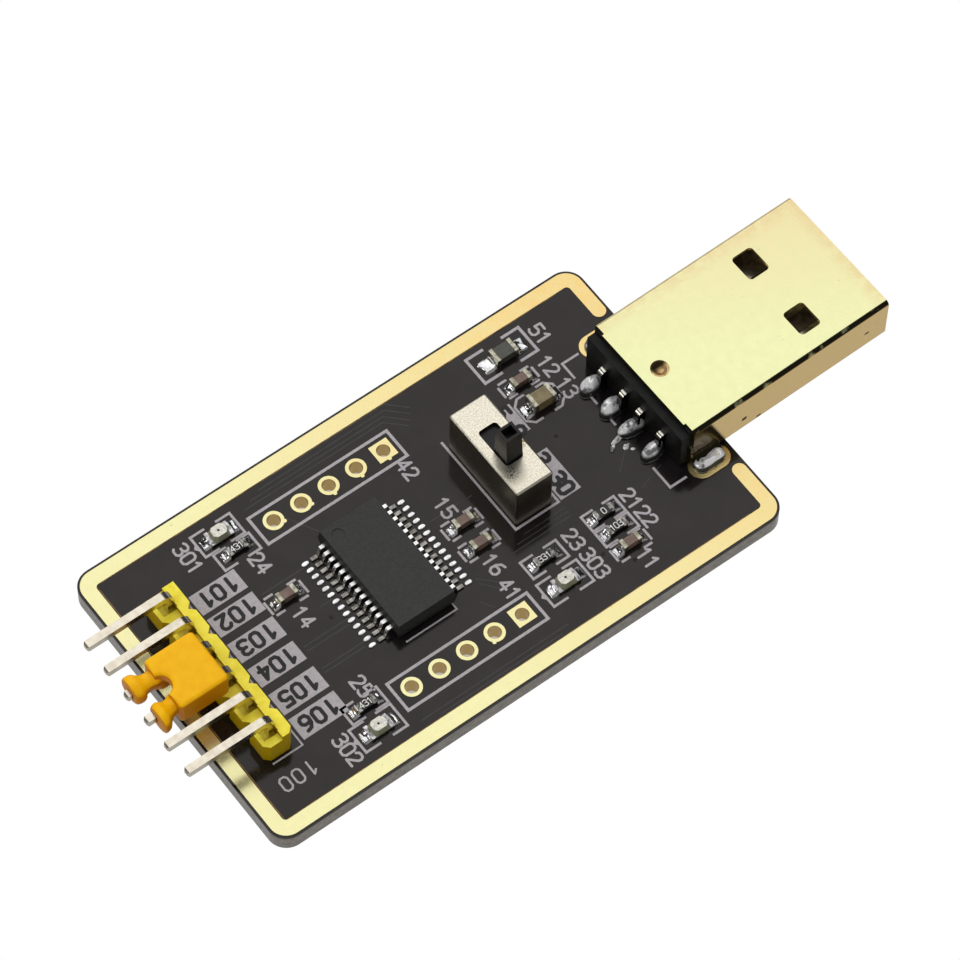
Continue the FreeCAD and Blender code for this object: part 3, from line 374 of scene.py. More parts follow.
def steel_material():
    """Plated steel with a fine grain, a dark stain beside the slot, a brown spot left by soldering, and
    painted shade on its upright walls.
    """
    tree, bsdf, place = shader("switch_steel", 0.28, metallic=1.0)
    grain = noisy(tree, place, 9.0, 0.3, 0.7, detail=4.0)
    base = mixed(tree, grain, (0.56, 0.52, 0.42), (0.97, 0.91, 0.76))
    for centre, reach, colour, fine in (
        ((0.75, -0.6, 7.35), 1.35, (0.03, 0.025, 0.015), 9.0),
        ((3.1, 0.9, 7.3), 0.5, (0.25, 0.15, 0.02), 3.0),
    ):
        offset = add_node(tree, "VectorMath", {0: place, 1: centre}, operation="DISTANCE")
        near = spread(tree, offset.outputs["Value"], reach, reach * 0.2)
        patch = noisy(tree, place, fine, 0.42, 0.6, detail=5.0)
        base = stained(tree, base, colour, near, patch)
    # walls: painted shade, darker upright faces of the same steel
    walls = mixed(tree, grain, (0.2, 0.17, 0.12), (0.36, 0.32, 0.24))
    feed(tree, bsdf, {"Base Color": mixed(tree, faces_up(tree), walls, base)})
    bumped(tree, bsdf, grain, 0.004)


# Plain finishes: two colours, the scale of their clouds, the roughness and other settings; side paints
# shade on upright faces
PLAIN_FINISHES = {
    # contact_gold: the near black upright faces are a painted dark reflection
    "contact_gold": (
        (0.6, 0.58, 0.5), (0.85, 0.82, 0.75), 2.0, 0.2, dict(side=(0.04, 0.04, 0.035), metallic=1.0)
    ),
    # header_plastic: the darker upright faces are painted shade
    "header_plastic": (
        (0.88, 0.72, 0.03), (1.0, 0.85, 0.07), 1.3, 0.42,
        dict(bump=0.01, side=(0.45, 0.3, 0.001), specular=0.25, subsurface=0.05),
    ),
    # jumper_plastic: the darker upright faces are painted shade
    "jumper_plastic": (
        (0.91, 0.45, 0.001), (0.95, 0.51, 0.002), 1.5, 0.36,
        dict(bump=0.004, side=(0.58, 0.22, 0.0005), specular=0.14, subsurface=0.05),
    ),
    "pin_metal": ((0.68, 0.61, 0.49), (0.8, 0.74, 0.62), 1.6, 0.22, dict(metallic=1.0, bump=0.003)),
    "spring_metal": ((0.6, 0.58, 0.5), (0.8, 0.78, 0.7), 2.5, 0.25, dict(metallic=1.0)),
    "black_plastic": (*BLACK, 2.0, 0.34, dict(bump=0.006, specular=0.32)),
    "chip_resin": ((0.017, 0.017, 0.016), (0.026, 0.026, 0.024), 6.0, 0.55, dict(bump=0.004)),
    "solder": ((0.62, 0.62, 0.63), (0.95, 0.95, 0.95), 2.0, 0.13, dict(metallic=1.0, bump=0.015)),
    # blob_solder: white level faces and near black upright ones are painted reflections, of bright
    # surroundings on top and dark ones on the sides
    "blob_solder": (
        (0.22, 0.22, 0.22), (1.0, 1.0, 1.0), 1.5, 0.13,
        dict(metallic=0.35, bump=0.05, side=(0.05, 0.05, 0.05), span=(0.35, 0.48), specular=1.0),
    ),
    "dull_solder": ((0.16, 0.15, 0.15), (0.75, 0.74, 0.76), 2.6, 0.3, dict(metallic=1.0, bump=0.03)),
    "capacitor_ceramic": ((0.14, 0.088, 0.066), (0.2, 0.13, 0.1), 2.0, 0.4, dict(bump=0.004)),
    "large_ceramic": ((0.17, 0.13, 0.055), (0.24, 0.19, 0.085), 2.0, 0.4, dict(bump=0.004)),
    "resistor_coat": ((0.008, 0.008, 0.008), (0.016, 0.016, 0.015), 3.0, 0.28, {}),
    "ferrite_body": ((0.055, 0.055, 0.045), (0.085, 0.085, 0.07), 5.0, 0.5, dict(bump=0.006)),
    "end_metal": ((0.25, 0.235, 0.17), (0.58, 0.56, 0.45), 3.0, 0.33, dict(metallic=1.0, bump=0.01)),
    "dark_end_metal": ((0.03, 0.03, 0.028), (0.4, 0.39, 0.35), 3.4, 0.25, dict(metallic=1.0, bump=0.01)),
    "led_board": ((0.1, 0.14, 0.06), (0.3, 0.33, 0.22), 3.0, 0.4, {}),
    # led_lens: the darker upright faces are painted shade
    "led_lens": ((0.55, 0.55, 0.45), (0.82, 0.81, 0.7), 2.5, 0.2, dict(side=(0.25, 0.25, 0.17))),
    "ink": ((0.36, 0.33, 0.35), (0.48, 0.445, 0.465), 4.0, 0.55, dict(span=(0.25, 0.75))),
    "pit": ((0.002, 0.001, 0.001), (0.01, 0.004, 0.004), 4.0, 0.6, {}),
    "dark_ink": ((0.005, 0.0045, 0.0045), (0.014, 0.0125, 0.0125), 5.0, 0.4, dict(specular=0.36)),
    "mark": ((0.65, 0.64, 0.61), (0.9, 0.89, 0.85), 5.0, 0.5, {}),
    "die": ((0.55, 0.54, 0.46), (0.85, 0.83, 0.76), 6.0, 0.4, {}),
    "track": ((0.014, 0.0125, 0.0125), (0.024, 0.021, 0.022), 1.5, 0.3, {}),
    "copper_edge": ((0.1, 0.045, 0.006), (0.3, 0.16, 0.03), 1.2, 0.5, {}),
}


def make_finishes():
    """One finish for each material of the record, and a few more for pieces of the scene."""
    mask_material()
    # gold_plate: its darker side colour is painted shade on upright walls
    gilt_material(
        "gold_plate", (0.865, 0.82, 0.435), (0.86, 0.62, 0.245), (0.64, 0.44, 0.145),
        (1.0, 0.4, 0.0), (-14.0, 18.0), 0.2, 0.002,
    )
    # plug_gold: side, shade and the fold flag are painted reflections; worn gives the tan of wear
    gilt_material(
        "plug_gold", (0.82, 0.835, 0.45), (0.81, 0.7, 0.38), (0.94, 0.67, 0.26),
        (0.5, 0.87, 0.0), (9.0, 20.0), 0.12, 0.001, fold_reflection=True,
        worn=(("Y", 4.6, 6.2), ("X", 31.4, 32.8)), shade=((1.0, 0.0, 0.415), 18.5, 18.2),
    )
    pit_material()
    steel_material()
    lead_material()
    insulator_material()
    for name, (dark, light, scale, roughness, settings) in PLAIN_FINISHES.items():
        mottled(name, dark, light, scale, roughness, **settings)


def numbered(stem, count):
    return [f"{stem}_{i + 1}" for i in range(count)]


# The nodes that each finish is for
FINISHED_NODES = {
    "solder_mask": ["circuit_board"],
    "gold_plate": [
        "edge_band_top", "edge_band_bottom", "pin_row_plating_near", "pin_row_plating_far",
        "usb_tab_pads",
    ],
    "header_plastic": ["header_housing"],
    "jumper_plastic": ["jumper_housing"],
    "spring_metal": ["jumper_contact", "switch_wiper"],
    "switch_steel": ["switch_case"],
    "black_plastic": ["switch_base", "switch_slider"],
    "chip_resin": ["chip_body"],
    "lead_metal": ["chip_leads_left", "chip_leads_right", *numbered("switch_terminal", 3)],
    "plug_gold": ["usb_shell"],
    "insulator_plastic": ["usb_insulator"],
    "blob_solder": ["usb_contact_solder", "usb_tab_solder"],
    "solder": ["header_solder", "switch_solder", "chip_lead_solder", "component_solder"],
    "large_ceramic": ["capacitor_6"],
    "ferrite_body": ["ferrite_bead"],
    "end_metal": ["capacitor_terminals", "ferrite_terminals"],
    "dark_end_metal": ["resistor_terminals"],
    "dull_solder": ["led_terminals"],
    "led_lens": ["led_lenses"],
    "pin_metal": numbered("header_pin", 6),
    "contact_gold": numbered("usb_contact", 4),
    "capacitor_ceramic": numbered("capacitor", 5),
    "resistor_coat": numbered("resistor", 5),
    "led_board": numbered("led", 3),
}


def paint_nodes():
    for finish, names in FINISHED_NODES.items():
        for name in names:
            mesh = nodes[name].data
            mesh.materials.clear()
            mesh.materials.append(materials[finish])


# Shapes. A shape is a list of points in millimetres in the layout's frame and a list of faces


def new_shape():
    return [], []


def prism(shape, outline, z0, z1):
    """A closed outline, anticlockwise, raised from z0 to z1."""
    points, faces = shape
    start = len(points)
    count = len(outline)
    points.extend((x, y, z0) for x, y in outline)
    points.extend((x, y, z1) for x, y in outline)
    faces.append([start + i for i in reversed(range(count))])
    faces.append([start + count + i for i in range(count)])
    for i in range(count):
        j = (i + 1) % count
        faces.append([start + i, start + j, start + count + j, start + count + i])


def band(shape, outer, inner, z0, z1):
    """The flat ring between two closed outlines with as many corners each."""
    points, faces = shape
    start = len(points)
    count = len(outer)
    for outline, z in ((outer, z0), (outer, z1), (inner, z1), (inner, z0)):
        points.extend((x, y, z) for x, y in outline)
    for side in range(4):
        here = start + side * count
        there = start + (side + 1) % 4 * count
        for i in range(count):
            j = (i + 1) % count
            faces.append([here + i, here + j, there + j, there + i])


def skin(rows, closed_start=True):
    """One surface through closed rows of as many points each, with its ends closed."""
    shape = new_shape()
    points, faces = shape
    count = len(rows[0])
    for row in rows:
        points.extend(row)
    for k in range(len(rows) - 1):
        for i in range(count):
            j = (i + 1) % count
            here = k * count
            there = here + count
            faces.append([here + i, here + j, there + j, there + i])
    if closed_start:
        faces.append(list(reversed(range(count))))
    faces.append([(len(rows) - 1) * count + i for i in range(count)])
    return shape


def circle(x, y, radius, count=40):
    turn = 2 * math.pi / count
    return [
        (x + radius * math.cos(turn * i), y + radius * math.sin(turn * i)) for i in range(count)
    ]


def rectangle(x0, x1, y0, y1):
    return [(x0, y0), (x1, y0), (x1, y1), (x0, y1)]


def square_ring(x, y, half, count):
    """A square with points at even turns round its middle."""
    outline = []
    for i in range(count):
        a = 2 * math.pi * i / count
        reach = half / max(abs(math.cos(a)), abs(math.sin(a)))
        outline.append((x + reach * math.cos(a), y + reach * math.sin(a)))
    return outline


def stadium(x, y, length, width, count=24):
    """A closed outline with two straight sides and round ends, long along X."""
    outline = []
    for side, start in ((1, -90), (-1, 90)):
        for i in range(count):
            a = math.radians(start + 180 * i / (count - 1))
            middle = x + side * (length - width) / 2
            outline.append((middle + width / 2 * math.cos(a), y + width / 2 * math.sin(a)))
    return outline


def stroke_sides(path, width, closed):
    """The points on the left and on the right of a path, at half the width from it. A sharp
    corner's points go out to twice that at most."""
    least_turn = 0.5
    left = []
    right = []
    count = len(path)
    for i, (x, y) in enumerate(path):
        before = path[i - 1] if i or closed else None
        after = path[(i + 1) % count] if i < count - 1 or closed else None
        into = Vector((x - before[0], y - before[1])).normalized() if before else None
        out = Vector((after[0] - x, after[1] - y)).normalized() if after else None
        into = into or out
        out = out or into
        ahead = (into + out).normalized()
        side = Vector((-ahead.y, ahead.x)) * (width / 2 / max(ahead.dot(into), least_turn))
        left.append((x + side.x, y + side.y))
        right.append((x - side.x, y - side.y))
    return left, right


def pen(shape, path, width, z0, z1, closed=False):
    """A line with round joints. Each of its pieces is a hair higher than the one before."""
    joint_points = 12
    level = z1
    ends = path[1:] + path[:1] if closed else path[1:]
    for (x, y), (next_x, next_y) in zip(path, ends):
        ahead = Vector((next_x - x, next_y - y)).normalized() * (width / 2)
        right = (ahead.y, -ahead.x)
        corners = [(x, y, 1), (next_x, next_y, 1), (next_x, next_y, -1), (x, y, -1)]
        outline = [(cx + side * right[0], cy + side * right[1]) for cx, cy, side in corners]
        prism(shape, outline, z0, level)
        prism(shape, circle(x, y, width / 2, joint_points), z0, level + LINE_GAP / 2)
        level += LINE_GAP
    if not closed:
        prism(shape, circle(*path[-1], width / 2, joint_points), z0, level)


def stroke(shape, path, width, z0, z1, closed=False):
    """A flat line of even width with sharp corners."""
    left, right = stroke_sides(path, width, closed)
    if closed:
        turning = sum(a[0] * b[1] - b[0] * a[1] for a, b in zip(path, path[1:] + path[:1]))
        outer, inner = (right, left) if turning > 0 else (left[::-1], right[::-1])
        band(shape, outer, inner, z0, z1)
        return
    prism(shape, right + left[::-1], z0, z1)


def lumps(x, y, z, scale, seed):
    """A smooth random value for a place; each seed looks at another part of the same noise."""
    seed_x = 7.3
    seed_y = -3.1
    place = (x * scale + seed * seed_x, y * scale + seed * seed_y, z * scale + seed)
    return noise.noise(Vector(place))


def mound(
    shape, x, y, z0, reach, height, angle=0.0, power=2.0, corner=2.0, rough=0.0, seed=0, fine=2.0
):
    """A drop of solder on a flat face, high in its middle, or hanging if height is negative. Its
    footprint is an oval that gets squarer as corner grows. rough says how uneven it is."""
    rings = 9
    spokes = 28
    rim_share = 0.5
    rim_scale = 1.4
    top_share = 1.6
    points, faces = shape
    turn_x = math.cos(math.radians(angle))
    turn_y = math.sin(math.radians(angle))
    start = len(points)
    points.append((x, y, z0 + height))
    for r in range(1, rings + 1):
        t = r / rings
        for s in range(spokes):
            a = 2 * math.pi * s / spokes
            wobble = 1 + rough * rim_share * lumps(math.cos(a), math.sin(a), 0, rim_scale, seed)
            wobble /= (abs(math.cos(a)) ** corner + abs(math.sin(a)) ** corner) ** (1 / corner)
            u = reach[0] * t * math.cos(a) * wobble
            v = reach[1] * t * math.sin(a) * wobble
            px = x + u * turn_x - v * turn_y
            py = y + u * turn_y + v * turn_x
            rise = height * (1 - t**power) ** (1 / power)
            rise *= 1 + rough * top_share * lumps(px, py, 0, fine, seed)
            points.append((px, py, z0 + rise))
    first = len(faces)
    for s in range(spokes):
        faces.append([start, start + 1 + s, start + 1 + (s + 1) % spokes])
    for r in range(rings - 1):
        for s in range(spokes):
            a = start + 1 + r * spokes + s
            b = start + 1 + r * spokes + (s + 1) % spokes
            faces.append([a, a + spokes, b + spokes, b])
    rim = start + 1 + (rings - 1) * spokes
    faces.append([rim + s for s in reversed(range(spokes))])
    if height < 0:
        faces[first:] = [face[::-1] for face in faces[first:]]


def toe(shape, x, y, sign, length, width, climb, seed):
    """Solder at one end of a chip component: high at its end cap, thin and ragged outwards."""
    steps = 9
    film = 0.01
    least_rise = 0.02
    spread_rise = 0.11
    taper = 0.1
    ragged_share = 0.2
    ragged_scale = 2.2
    lump_share = 0.5
    lump_scale = 2.6
    points, faces = shape
    start = len(points)
    for i in range(steps + 1):
        t = i / steps
        for j in range(steps + 1):
            s = 2 * j / steps - 1
            ragged = 1 + ragged_share * lumps(0, s, 0, ragged_scale, seed)
            px = x + sign * t * length * (ragged if i == steps else 1)
            py = y + s * width / 2 * (1 - taper * t * t)
            body = climb * (1 - t) ** 3 + spread_rise * (1 - t**6)
            uneven = 1 + lump_share * lumps(px, py, 0, lump_scale, seed)
            rise = body * (1 - abs(s) ** 6) * uneven + least_rise
            edge = i == steps or j in (0, steps)
            points.append((px, py, film if edge else film + max(rise, least_rise)))
    low = len(points)
    points.extend([(px, py, 0.0) for px, py, _ in points[start:low]])
    row = steps + 1
    for i in range(steps):
        for j in range(steps):
            a = start + i * row + j
            quad = [a, a + row, a + row + 1, a + 1]
            under = [p - start + low for p in reversed(quad)]
            faces.extend([quad, under] if sign > 0 else [quad[::-1], under[::-1]])
    rim = [i * row for i in range(steps + 1)]
    rim += [steps * row + j for j in range(1, row)]
    rim += [i * row + steps for i in range(steps - 1, -1, -1)]
    rim += list(range(steps - 1, 0, -1))
    for a, b in zip(rim, rim[1:] + rim[:1]):
        quad = [start + a, low + a, low + b, start + b]
        faces.append(quad if sign > 0 else quad[::-1])


def new_object(name, shape):
    """An object from a shape in the layout's frame."""
    points, faces = shape
    mesh = bpy.data.meshes.new(name)
    mesh.from_pydata([tuple((Vector(p) + LAYOUT) * MM) for p in points], [], faces)
    made = bpy.data.objects.new(name, mesh)
    bpy.context.collection.objects.link(made)
    return made


def piece(name, shape, finish, body="board", replaces=(), smooth=False):
    """Makes an object from a shape and hands it to the frame."""
    made = new_object(name, shape)
    mesh = made.data
    mesh.update()
    mesh.validate()
    if smooth:
        for polygon in mesh.polygons:
            polygon.use_smooth = True
    mesh.materials.append(materials[finish])
    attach(made, body)
    if replaces:
        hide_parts(*replaces)
    return made


# Plain numbers, drawn with strokes in a box 0.6 wide and 1 high
DIGIT_WIDTH = 0.6
DIGITS = {
    "0": [((0.15, 0), (0.45, 0), (0.6, 0.18), (0.6, 0.82), (0.45, 1), (0.15, 1), (0, 0.82), (0, 0.18))],
    "1": [((0.08, 0.76), (0.32, 1), (0.32, 0))],
    "2": [((0, 0.78), (0.1, 0.95), (0.3, 1), (0.5, 0.95), (0.6, 0.78), (0.56, 0.58), (0, 0), (0.62, 0))],
    "3": [((0, 0.9), (0.15, 1), (0.42, 1), (0.58, 0.87), (0.58, 0.67), (0.42, 0.53), (0.22, 0.53)),
          ((0.42, 0.53), (0.6, 0.38), (0.6, 0.15), (0.45, 0), (0.15, 0), (0, 0.1))],
    "4": [((0.44, 0), (0.44, 1), (0, 0.3), (0.62, 0.3))],
    "5": [((0.58, 1), (0.06, 1), (0.03, 0.55), (0.4, 0.6), (0.6, 0.45), (0.6, 0.16), (0.45, 0),
           (0.15, 0), (0, 0.1))],
    "6": [((0.52, 1), (0.22, 0.9), (0.03, 0.6), (0, 0.22), (0.15, 0), (0.45, 0), (0.6, 0.16),
           (0.6, 0.42), (0.45, 0.56), (0.15, 0.56), (0.03, 0.45))],
    ".": [((0.28, 0.0), (0.34, 0.0))],
}
# Styles of the numbers: height, pitch, width of the line, and the direction that they read in
PART_STYLE = (1.12, 0.92, 0.2, -90)
CORNER_STYLE = (1.15, 1.1, 0.16, 180)
PIN_STYLE = (1.22, 1.1, 0.3, 180)
VOLTAGE_STYLE = (1.2, 1.0, 0.34, -90)
CODE_STYLE = (0.5, 0.37, 0.065, 0)


def write_number(shape, text, x, y, style, z0, z1):
    """A number with its middle at (x, y)."""
    height, pitch, width, heading = style
    ahead = Vector((math.cos(math.radians(heading)), math.sin(math.radians(heading))))
    upward = Vector((-ahead.y, ahead.x))
    start = -pitch * (len(text) - 1) / 2
    for i, digit in enumerate(text):
        for k, path in enumerate(DIGITS[digit]):
            line = []
            for u, v in path:
                across = start + i * pitch + (u - DIGIT_WIDTH / 2) * height
                place = ahead * across + upward * ((v - 0.5) * height)
                line.append((x + place.x, y + place.y))
            pen(shape, line, width, z0, z1 + k * STROKE_GAP, digit == "0")


def ink_line(shape, *path, width=INK_LINE, closed=False):
    stroke(shape, list(path), width, 0.0, INK_TOP, closed)


def gapped_box(shape, x0, x1, y0, y1, width=INK_LINE, share=0.36):
    """A box whose two long lines are open in their middle."""
    reach = (x1 - x0) * share
    for x_end, x_stub in ((x0, x0 + reach), (x1, x1 - reach)):
        ink_line(shape, (x_stub, y0), (x_end, y0), (x_end, y1), (x_stub, y1), width=width)


def brackets(shape, x0, x1, y0, y1):
    """The outline round a small capacitor: short lines at both ends, apart from the corners."""
    stub = (x1 - x0) * 0.3
    clear = 0.2
    inset = clear * 0.7
    for x_end, sign in ((x0, 1), (x1, -1)):
        ink_line(shape, (x_end, y0 + clear), (x_end, y1 - clear))
        for y in (y0, y1):
            ink_line(shape, (x_end + sign * inset, y), (x_end + sign * stub, y))


def cut_brackets(shape, x0, x1, y0, y1):
    """The outline round the large capacitor: a bracket with cut corners at both ends."""
    stub = 1.25
    cut_x = 0.55
    cut_y = 0.52
    for x_end, sign in ((x0, 1), (x1, -1)):
        corner = x_end + sign * cut_x
        tip = x_end + sign * stub
        line = [(tip, y0), (corner, y0), (x_end, y0 + cut_y)]
        line += [(x_end, y1 - cut_y), (corner, y1), (tip, y1)]
        ink_line(shape, *line)


# Boxes of the printing: x from and to, y from and to
HOLE_ROW_BOXES = ((-1.34, 11.52, -1.45, 1.22), (-1.46, 11.39, 15.94, 18.61))
LED_BOXES = ((-5.88, -2.29, 17.79, 19.84), (-5.85, -2.1, -2.4, -0.2), (12.47, 16.2, -0.93, 1.28))
RESISTOR_BOXES = (
    (-5.36, -2.1, 16.0, 17.62), (-5.3, -2.1, -0.03, 1.55), (12.65, 15.96, 1.83, 3.52),
    (18.66, 21.73, 2.39, 3.92), (18.66, 21.73, 0.76, 2.22),
)
FERRITE_BOX = (19.89, 24.89, 17.48, 20.0)
SMALL_CAPACITOR_BOXES = (
    (-4.65, -1.46, 10.67, 12.33), (9.58, 12.74, 7.97, 9.5), (9.52, 12.68, 5.76, 7.26),
    (18.66, 21.8, -0.93, 0.6), (20.4, 23.57, 15.33, 16.8),
)
LARGE_CAPACITOR_BOX = (20.4, 23.97, 12.48, 14.96)

# Open printed lines round the chip, the switch, the header and the plug: width, corners
OPEN_LINES = (
    (0.13, (1.88, 3.2), (6.55, 3.2), (6.55, 3.83)),
    (INK_LINE, (14.12, 15.33), (14.12, 5.98), (18.14, 5.98), (18.14, 15.33)),
    (0.14, (-9.22, 16.6), (-9.22, 0.87), (-11.9, 0.87)),
    (INK_LINE, (27.2, 15.4), (25.63, 15.4), (25.63, 13.8)),
    (INK_LINE, (25.63, 11.8), (25.63, 11.0)),
    (INK_LINE, (25.63, 9.96), (25.63, 8.7)),
    (INK_LINE, (25.63, 4.13), (25.63, 1.99), (27.2, 1.99)),
)

# Numbers beside the parts, with their middles
PART_NUMBERS = (
    ("301", -7.0, 18.5), ("24", -2.9, 15.0), ("14", -2.96, 9.4), ("25", -2.9, 2.2),
    ("302", -6.8, -1.4), ("42", 10.7, 14.96), ("41", 10.7, 2.23), ("15", 11.0, 10.6),
    ("16", 11.0, 4.6), ("23", 17.1, 2.75), ("303", 17.15, 0.2), ("2122", 22.7, 2.03),
    ("11", 20.6, -1.8), ("51", 25.9, 18.55), ("12", 24.7, 15.9), ("13", 24.7, 13.5),
)
CORNER_NUMBER = ("100", -10.95, -1.0)


def build_silkscreen():
    ink = new_shape()
    for x0, x1, y0, y1 in HOLE_ROW_BOXES:
        ink_line(ink, *rectangle(x0, x1, y0, y1), width=HEAVY_LINE, closed=True)
    arrow = 0.34
    arrow_half = 0.42
    for box in LED_BOXES:
        gapped_box(ink, *box)
        x0 = box[0]
        y = (box[2] + box[3]) / 2
        corners = [(x0 - arrow, y), (x0, y - arrow_half), (x0, y + arrow_half)]
        prism(ink, corners, 0.0, INK_TOP + LINE_GAP)
    for box in RESISTOR_BOXES:
        gapped_box(ink, *box)
    gapped_box(ink, *FERRITE_BOX, width=HEAVY_LINE, share=0.33)
    for box in SMALL_CAPACITOR_BOXES:
        brackets(ink, *box)
    cut_brackets(ink, *LARGE_CAPACITOR_BOX)
    for width, *path in OPEN_LINES:
        ink_line(ink, *path, width=width)
    write_number(ink, *CORNER_NUMBER, CORNER_STYLE, 0.0, INK_TOP)
    for text, x, y in PART_NUMBERS:
        write_number(ink, text, x, y, PART_STYLE, 0.0, INK_TOP)
    piece("silkscreen", ink, "ink")


# Pale blocks with dark numbers, at the pins and at the switch
PIN_LABEL_X = (-8.9, -4.8)
PIN_LABELS = (
    ("101", 13.89, 15.79), ("102", 11.59, 13.43), ("103", 8.95, 10.85),
    ("104", 6.44, 8.28), ("105", 3.61, 5.67), ("106", 1.13, 3.15),
)
PIN_NUMBER_X = -6.85
VOLTAGE_LABEL_X = (18.36, 20.25)
VOLTAGE_LABELS = (("5.0", 12.26, 15.0), ("3.30", 5.98, 10.27))
VOLTAGE_NUMBER_X = 19.3


def build_labels():
    blocks = new_shape()
    numbers = new_shape()
    for labels, x_span, number_x, style, top in (
        (PIN_LABELS, PIN_LABEL_X, PIN_NUMBER_X, PIN_STYLE, INK_TOP),
        (VOLTAGE_LABELS, VOLTAGE_LABEL_X, VOLTAGE_NUMBER_X, VOLTAGE_STYLE, INK_TOP + LINE_GAP),
    ):
        for text, low, high in labels:
            prism(blocks, rectangle(*x_span, low, high), 0.0, top)
            write_number(numbers, text, number_x, (low + high) / 2, style, top, LABEL_TOP)
    piece("label_blocks", blocks, "ink")
    piece("label_numbers", numbers, "dark_ink")


def plated_hole(shape, outline, wall, bore):
    """Rings on both faces of the board and the plated wall that joins them."""
    band(shape, outline, bore, 0.0, COPPER_T)
    band(shape, outline, bore, -BOARD_T - COPPER_T, -BOARD_T)
    band(shape, wall, bore, -BOARD_T, 0.0)


def build_holes():
    for name, y, nubs, node in (
        ("near_row_rings", NEAR_ROW_Y, NEAR_NUBS, "pin_row_plating_near"),
        ("far_row_rings", FAR_ROW_Y, FAR_NUBS, "pin_row_plating_far"),
    ):
        rings = new_shape()
        for i, nub in enumerate(nubs):
            x = PITCH * i
            ring = square_ring if i == SQUARE_RING else circle
            bore = circle(x, y, HOLE_R, RING_POINTS)
            wall = circle(x, y, HOLE_R + COPPER_T, RING_POINTS)
            plated_hole(rings, ring(x, y, RING_R, RING_POINTS), wall, bore)
            if nub is not None:
                turn = math.radians(nub)
                path = [(x + r * math.cos(turn), y + r * math.sin(turn)) for r in NUB_REACH]
                pen(rings, path, NUB_WIDTH, 0.0, COPPER_T)
        piece(name, rings, "gold_plate", replaces=(node,))


def build_tab_pads():
    pads = new_shape()
    for x, y in TAB_PADS:
        outline, wall, bore = (
            stadium(x, y, *(size + 2 * margin for size in TAB_SLOT))
            for margin in (TAB_PAD_MARGIN, COPPER_T, 0.0)
        )
        plated_hole(pads, outline, wall, bore)
    piece("tab_pads", pads, "gold_plate", replaces=("usb_tab_pads",))


def solder_piece(name, shape, finish, node):
    piece(name, shape, finish, replaces=(node,), smooth=True)


# Solder at chip components: their middles, half length of the body, width, reach and climb
TOES = (
    (SMALL_CAPACITORS, 0.8, 1.0, 0.62, 0.36),
    ((LARGE_CAPACITOR,), 1.0, 1.35, 0.8, 0.45),
    (RESISTORS, 0.8, 1.0, 0.62, 0.36),
    ((FERRITE,), 1.0, 1.4, 1.1, 0.2),
    (LEDS, 1.0, 1.2, 0.62, 0.22),
)


def build_component_solder():
    toes = new_shape()
    seed = 0
    for places, half, width, length, climb in TOES:
        for x, y in places:
            for sign in (-1, 1):
                toe(toes, x + sign * half, y, sign, length, width, climb, seed)
                seed += 1
    solder_piece("component_solder_toes", toes, "solder", "component_solder")


def build_chip_solder():
    reach = (0.36, 0.2)
    height = 0.13
    feet = new_shape()
    for side in (-1, 1):
        for i in range(CHIP_LEADS):
            x = CHIP[0] + side * CHIP_FOOT_X
            y = CHIP[1] + CHIP_LEAD_PITCH * (i - (CHIP_LEADS - 1) / 2)
            seed = i + 30 * side
            mound(feet, x, y, 0.0, reach, height, power=4.0, corner=2.6, rough=0.1, seed=seed)
    solder_piece("chip_solder_feet", feet, "solder", "chip_lead_solder")


# Solder at the plug's contacts and small splashes beside it: middle, reach, height and angle
CONTACT_BLOBS = (
    (26.15, 12.45, (1.2, 0.76), 1.1, 6),
    (26.22, 10.0, (1.2, 0.76), 1.12, 4),
    (26.35, 7.72, (1.3, 0.66), 1.05, -8),
    (26.4, 5.18, (1.15, 0.68), 1.05, 8),
)
SPLASHES = (
    (24.9, 7.6, (0.7, 0.24), 0.28, 12),
    (24.2, 7.25, (0.4, 0.2), 0.18, 40),
    (25.1, 6.75, (0.36, 0.22), 0.14, 20),
    (25.4, 6.3, (0.2, 0.14), 0.1, -30),
)


def build_contact_solder():
    blobs = new_shape()
    for drops, rough, first_seed, fine in ((CONTACT_BLOBS, 0.16, 50, 1.1), (SPLASHES, 0.7, 61, 2.5)):
        for i, (x, y, reach, height, angle) in enumerate(drops):
            seed = first_seed + i
            mound(blobs, x, y, 0.0, reach, height, angle, rough=rough, seed=seed, fine=fine)
    solder_piece("usb_contact_blobs", blobs, "blob_solder", "usb_contact_solder")


def build_tab_solder():
    """A joint on each face of the board, sunk a little into the pad."""
    reach = (1.4, 0.66)
    sunk = 0.01
    faces = ((COPPER_T - sunk, 0.78), (-BOARD_T - COPPER_T + sunk, -0.3))
    tabs = new_shape()
    for i, (x, y) in enumerate(TAB_PADS):
        for z0, height in faces:
            mound(tabs, x, y, z0, reach, height, 0.0, 3.0, 3.0, rough=0.16, seed=80 + i, fine=1.6)
    solder_piece("usb_tab_joints", tabs, "blob_solder", "usb_tab_solder")


def build_resistor_codes():
    codes = new_shape()
    for text, (x, y) in zip(RESISTOR_CODES, RESISTORS):
        write_number(codes, text, x, y, CODE_STYLE, RESISTOR_TOP, RESISTOR_TOP + PAINT_T)
    piece("resistor_numbers", codes, "mark")


def build_led_dies():
    """The two bright parts and the dark spot that show in each lens."""
    apart = 0.33
    half_y = 0.3
    spot_x = -0.03
    spot_r = 0.1
    spot_t = 0.01
    dies = new_shape()
    spots = new_shape()
    for x, y in LEDS:
        for side, half_x in ((-1, 0.2), (1, 0.26)):
            middle = x + side * apart
            outline = rectangle(middle - half_x, middle + half_x, y - half_y, y + half_y)
            prism(dies, outline, LENS_TOP, LENS_TOP + PAINT_T)
        prism(spots, circle(x + spot_x, y, spot_r, 12), LENS_TOP, LENS_TOP + spot_t)
    piece("led_dies", dies, "die")
    piece("led_spots", spots, "dark_ink")


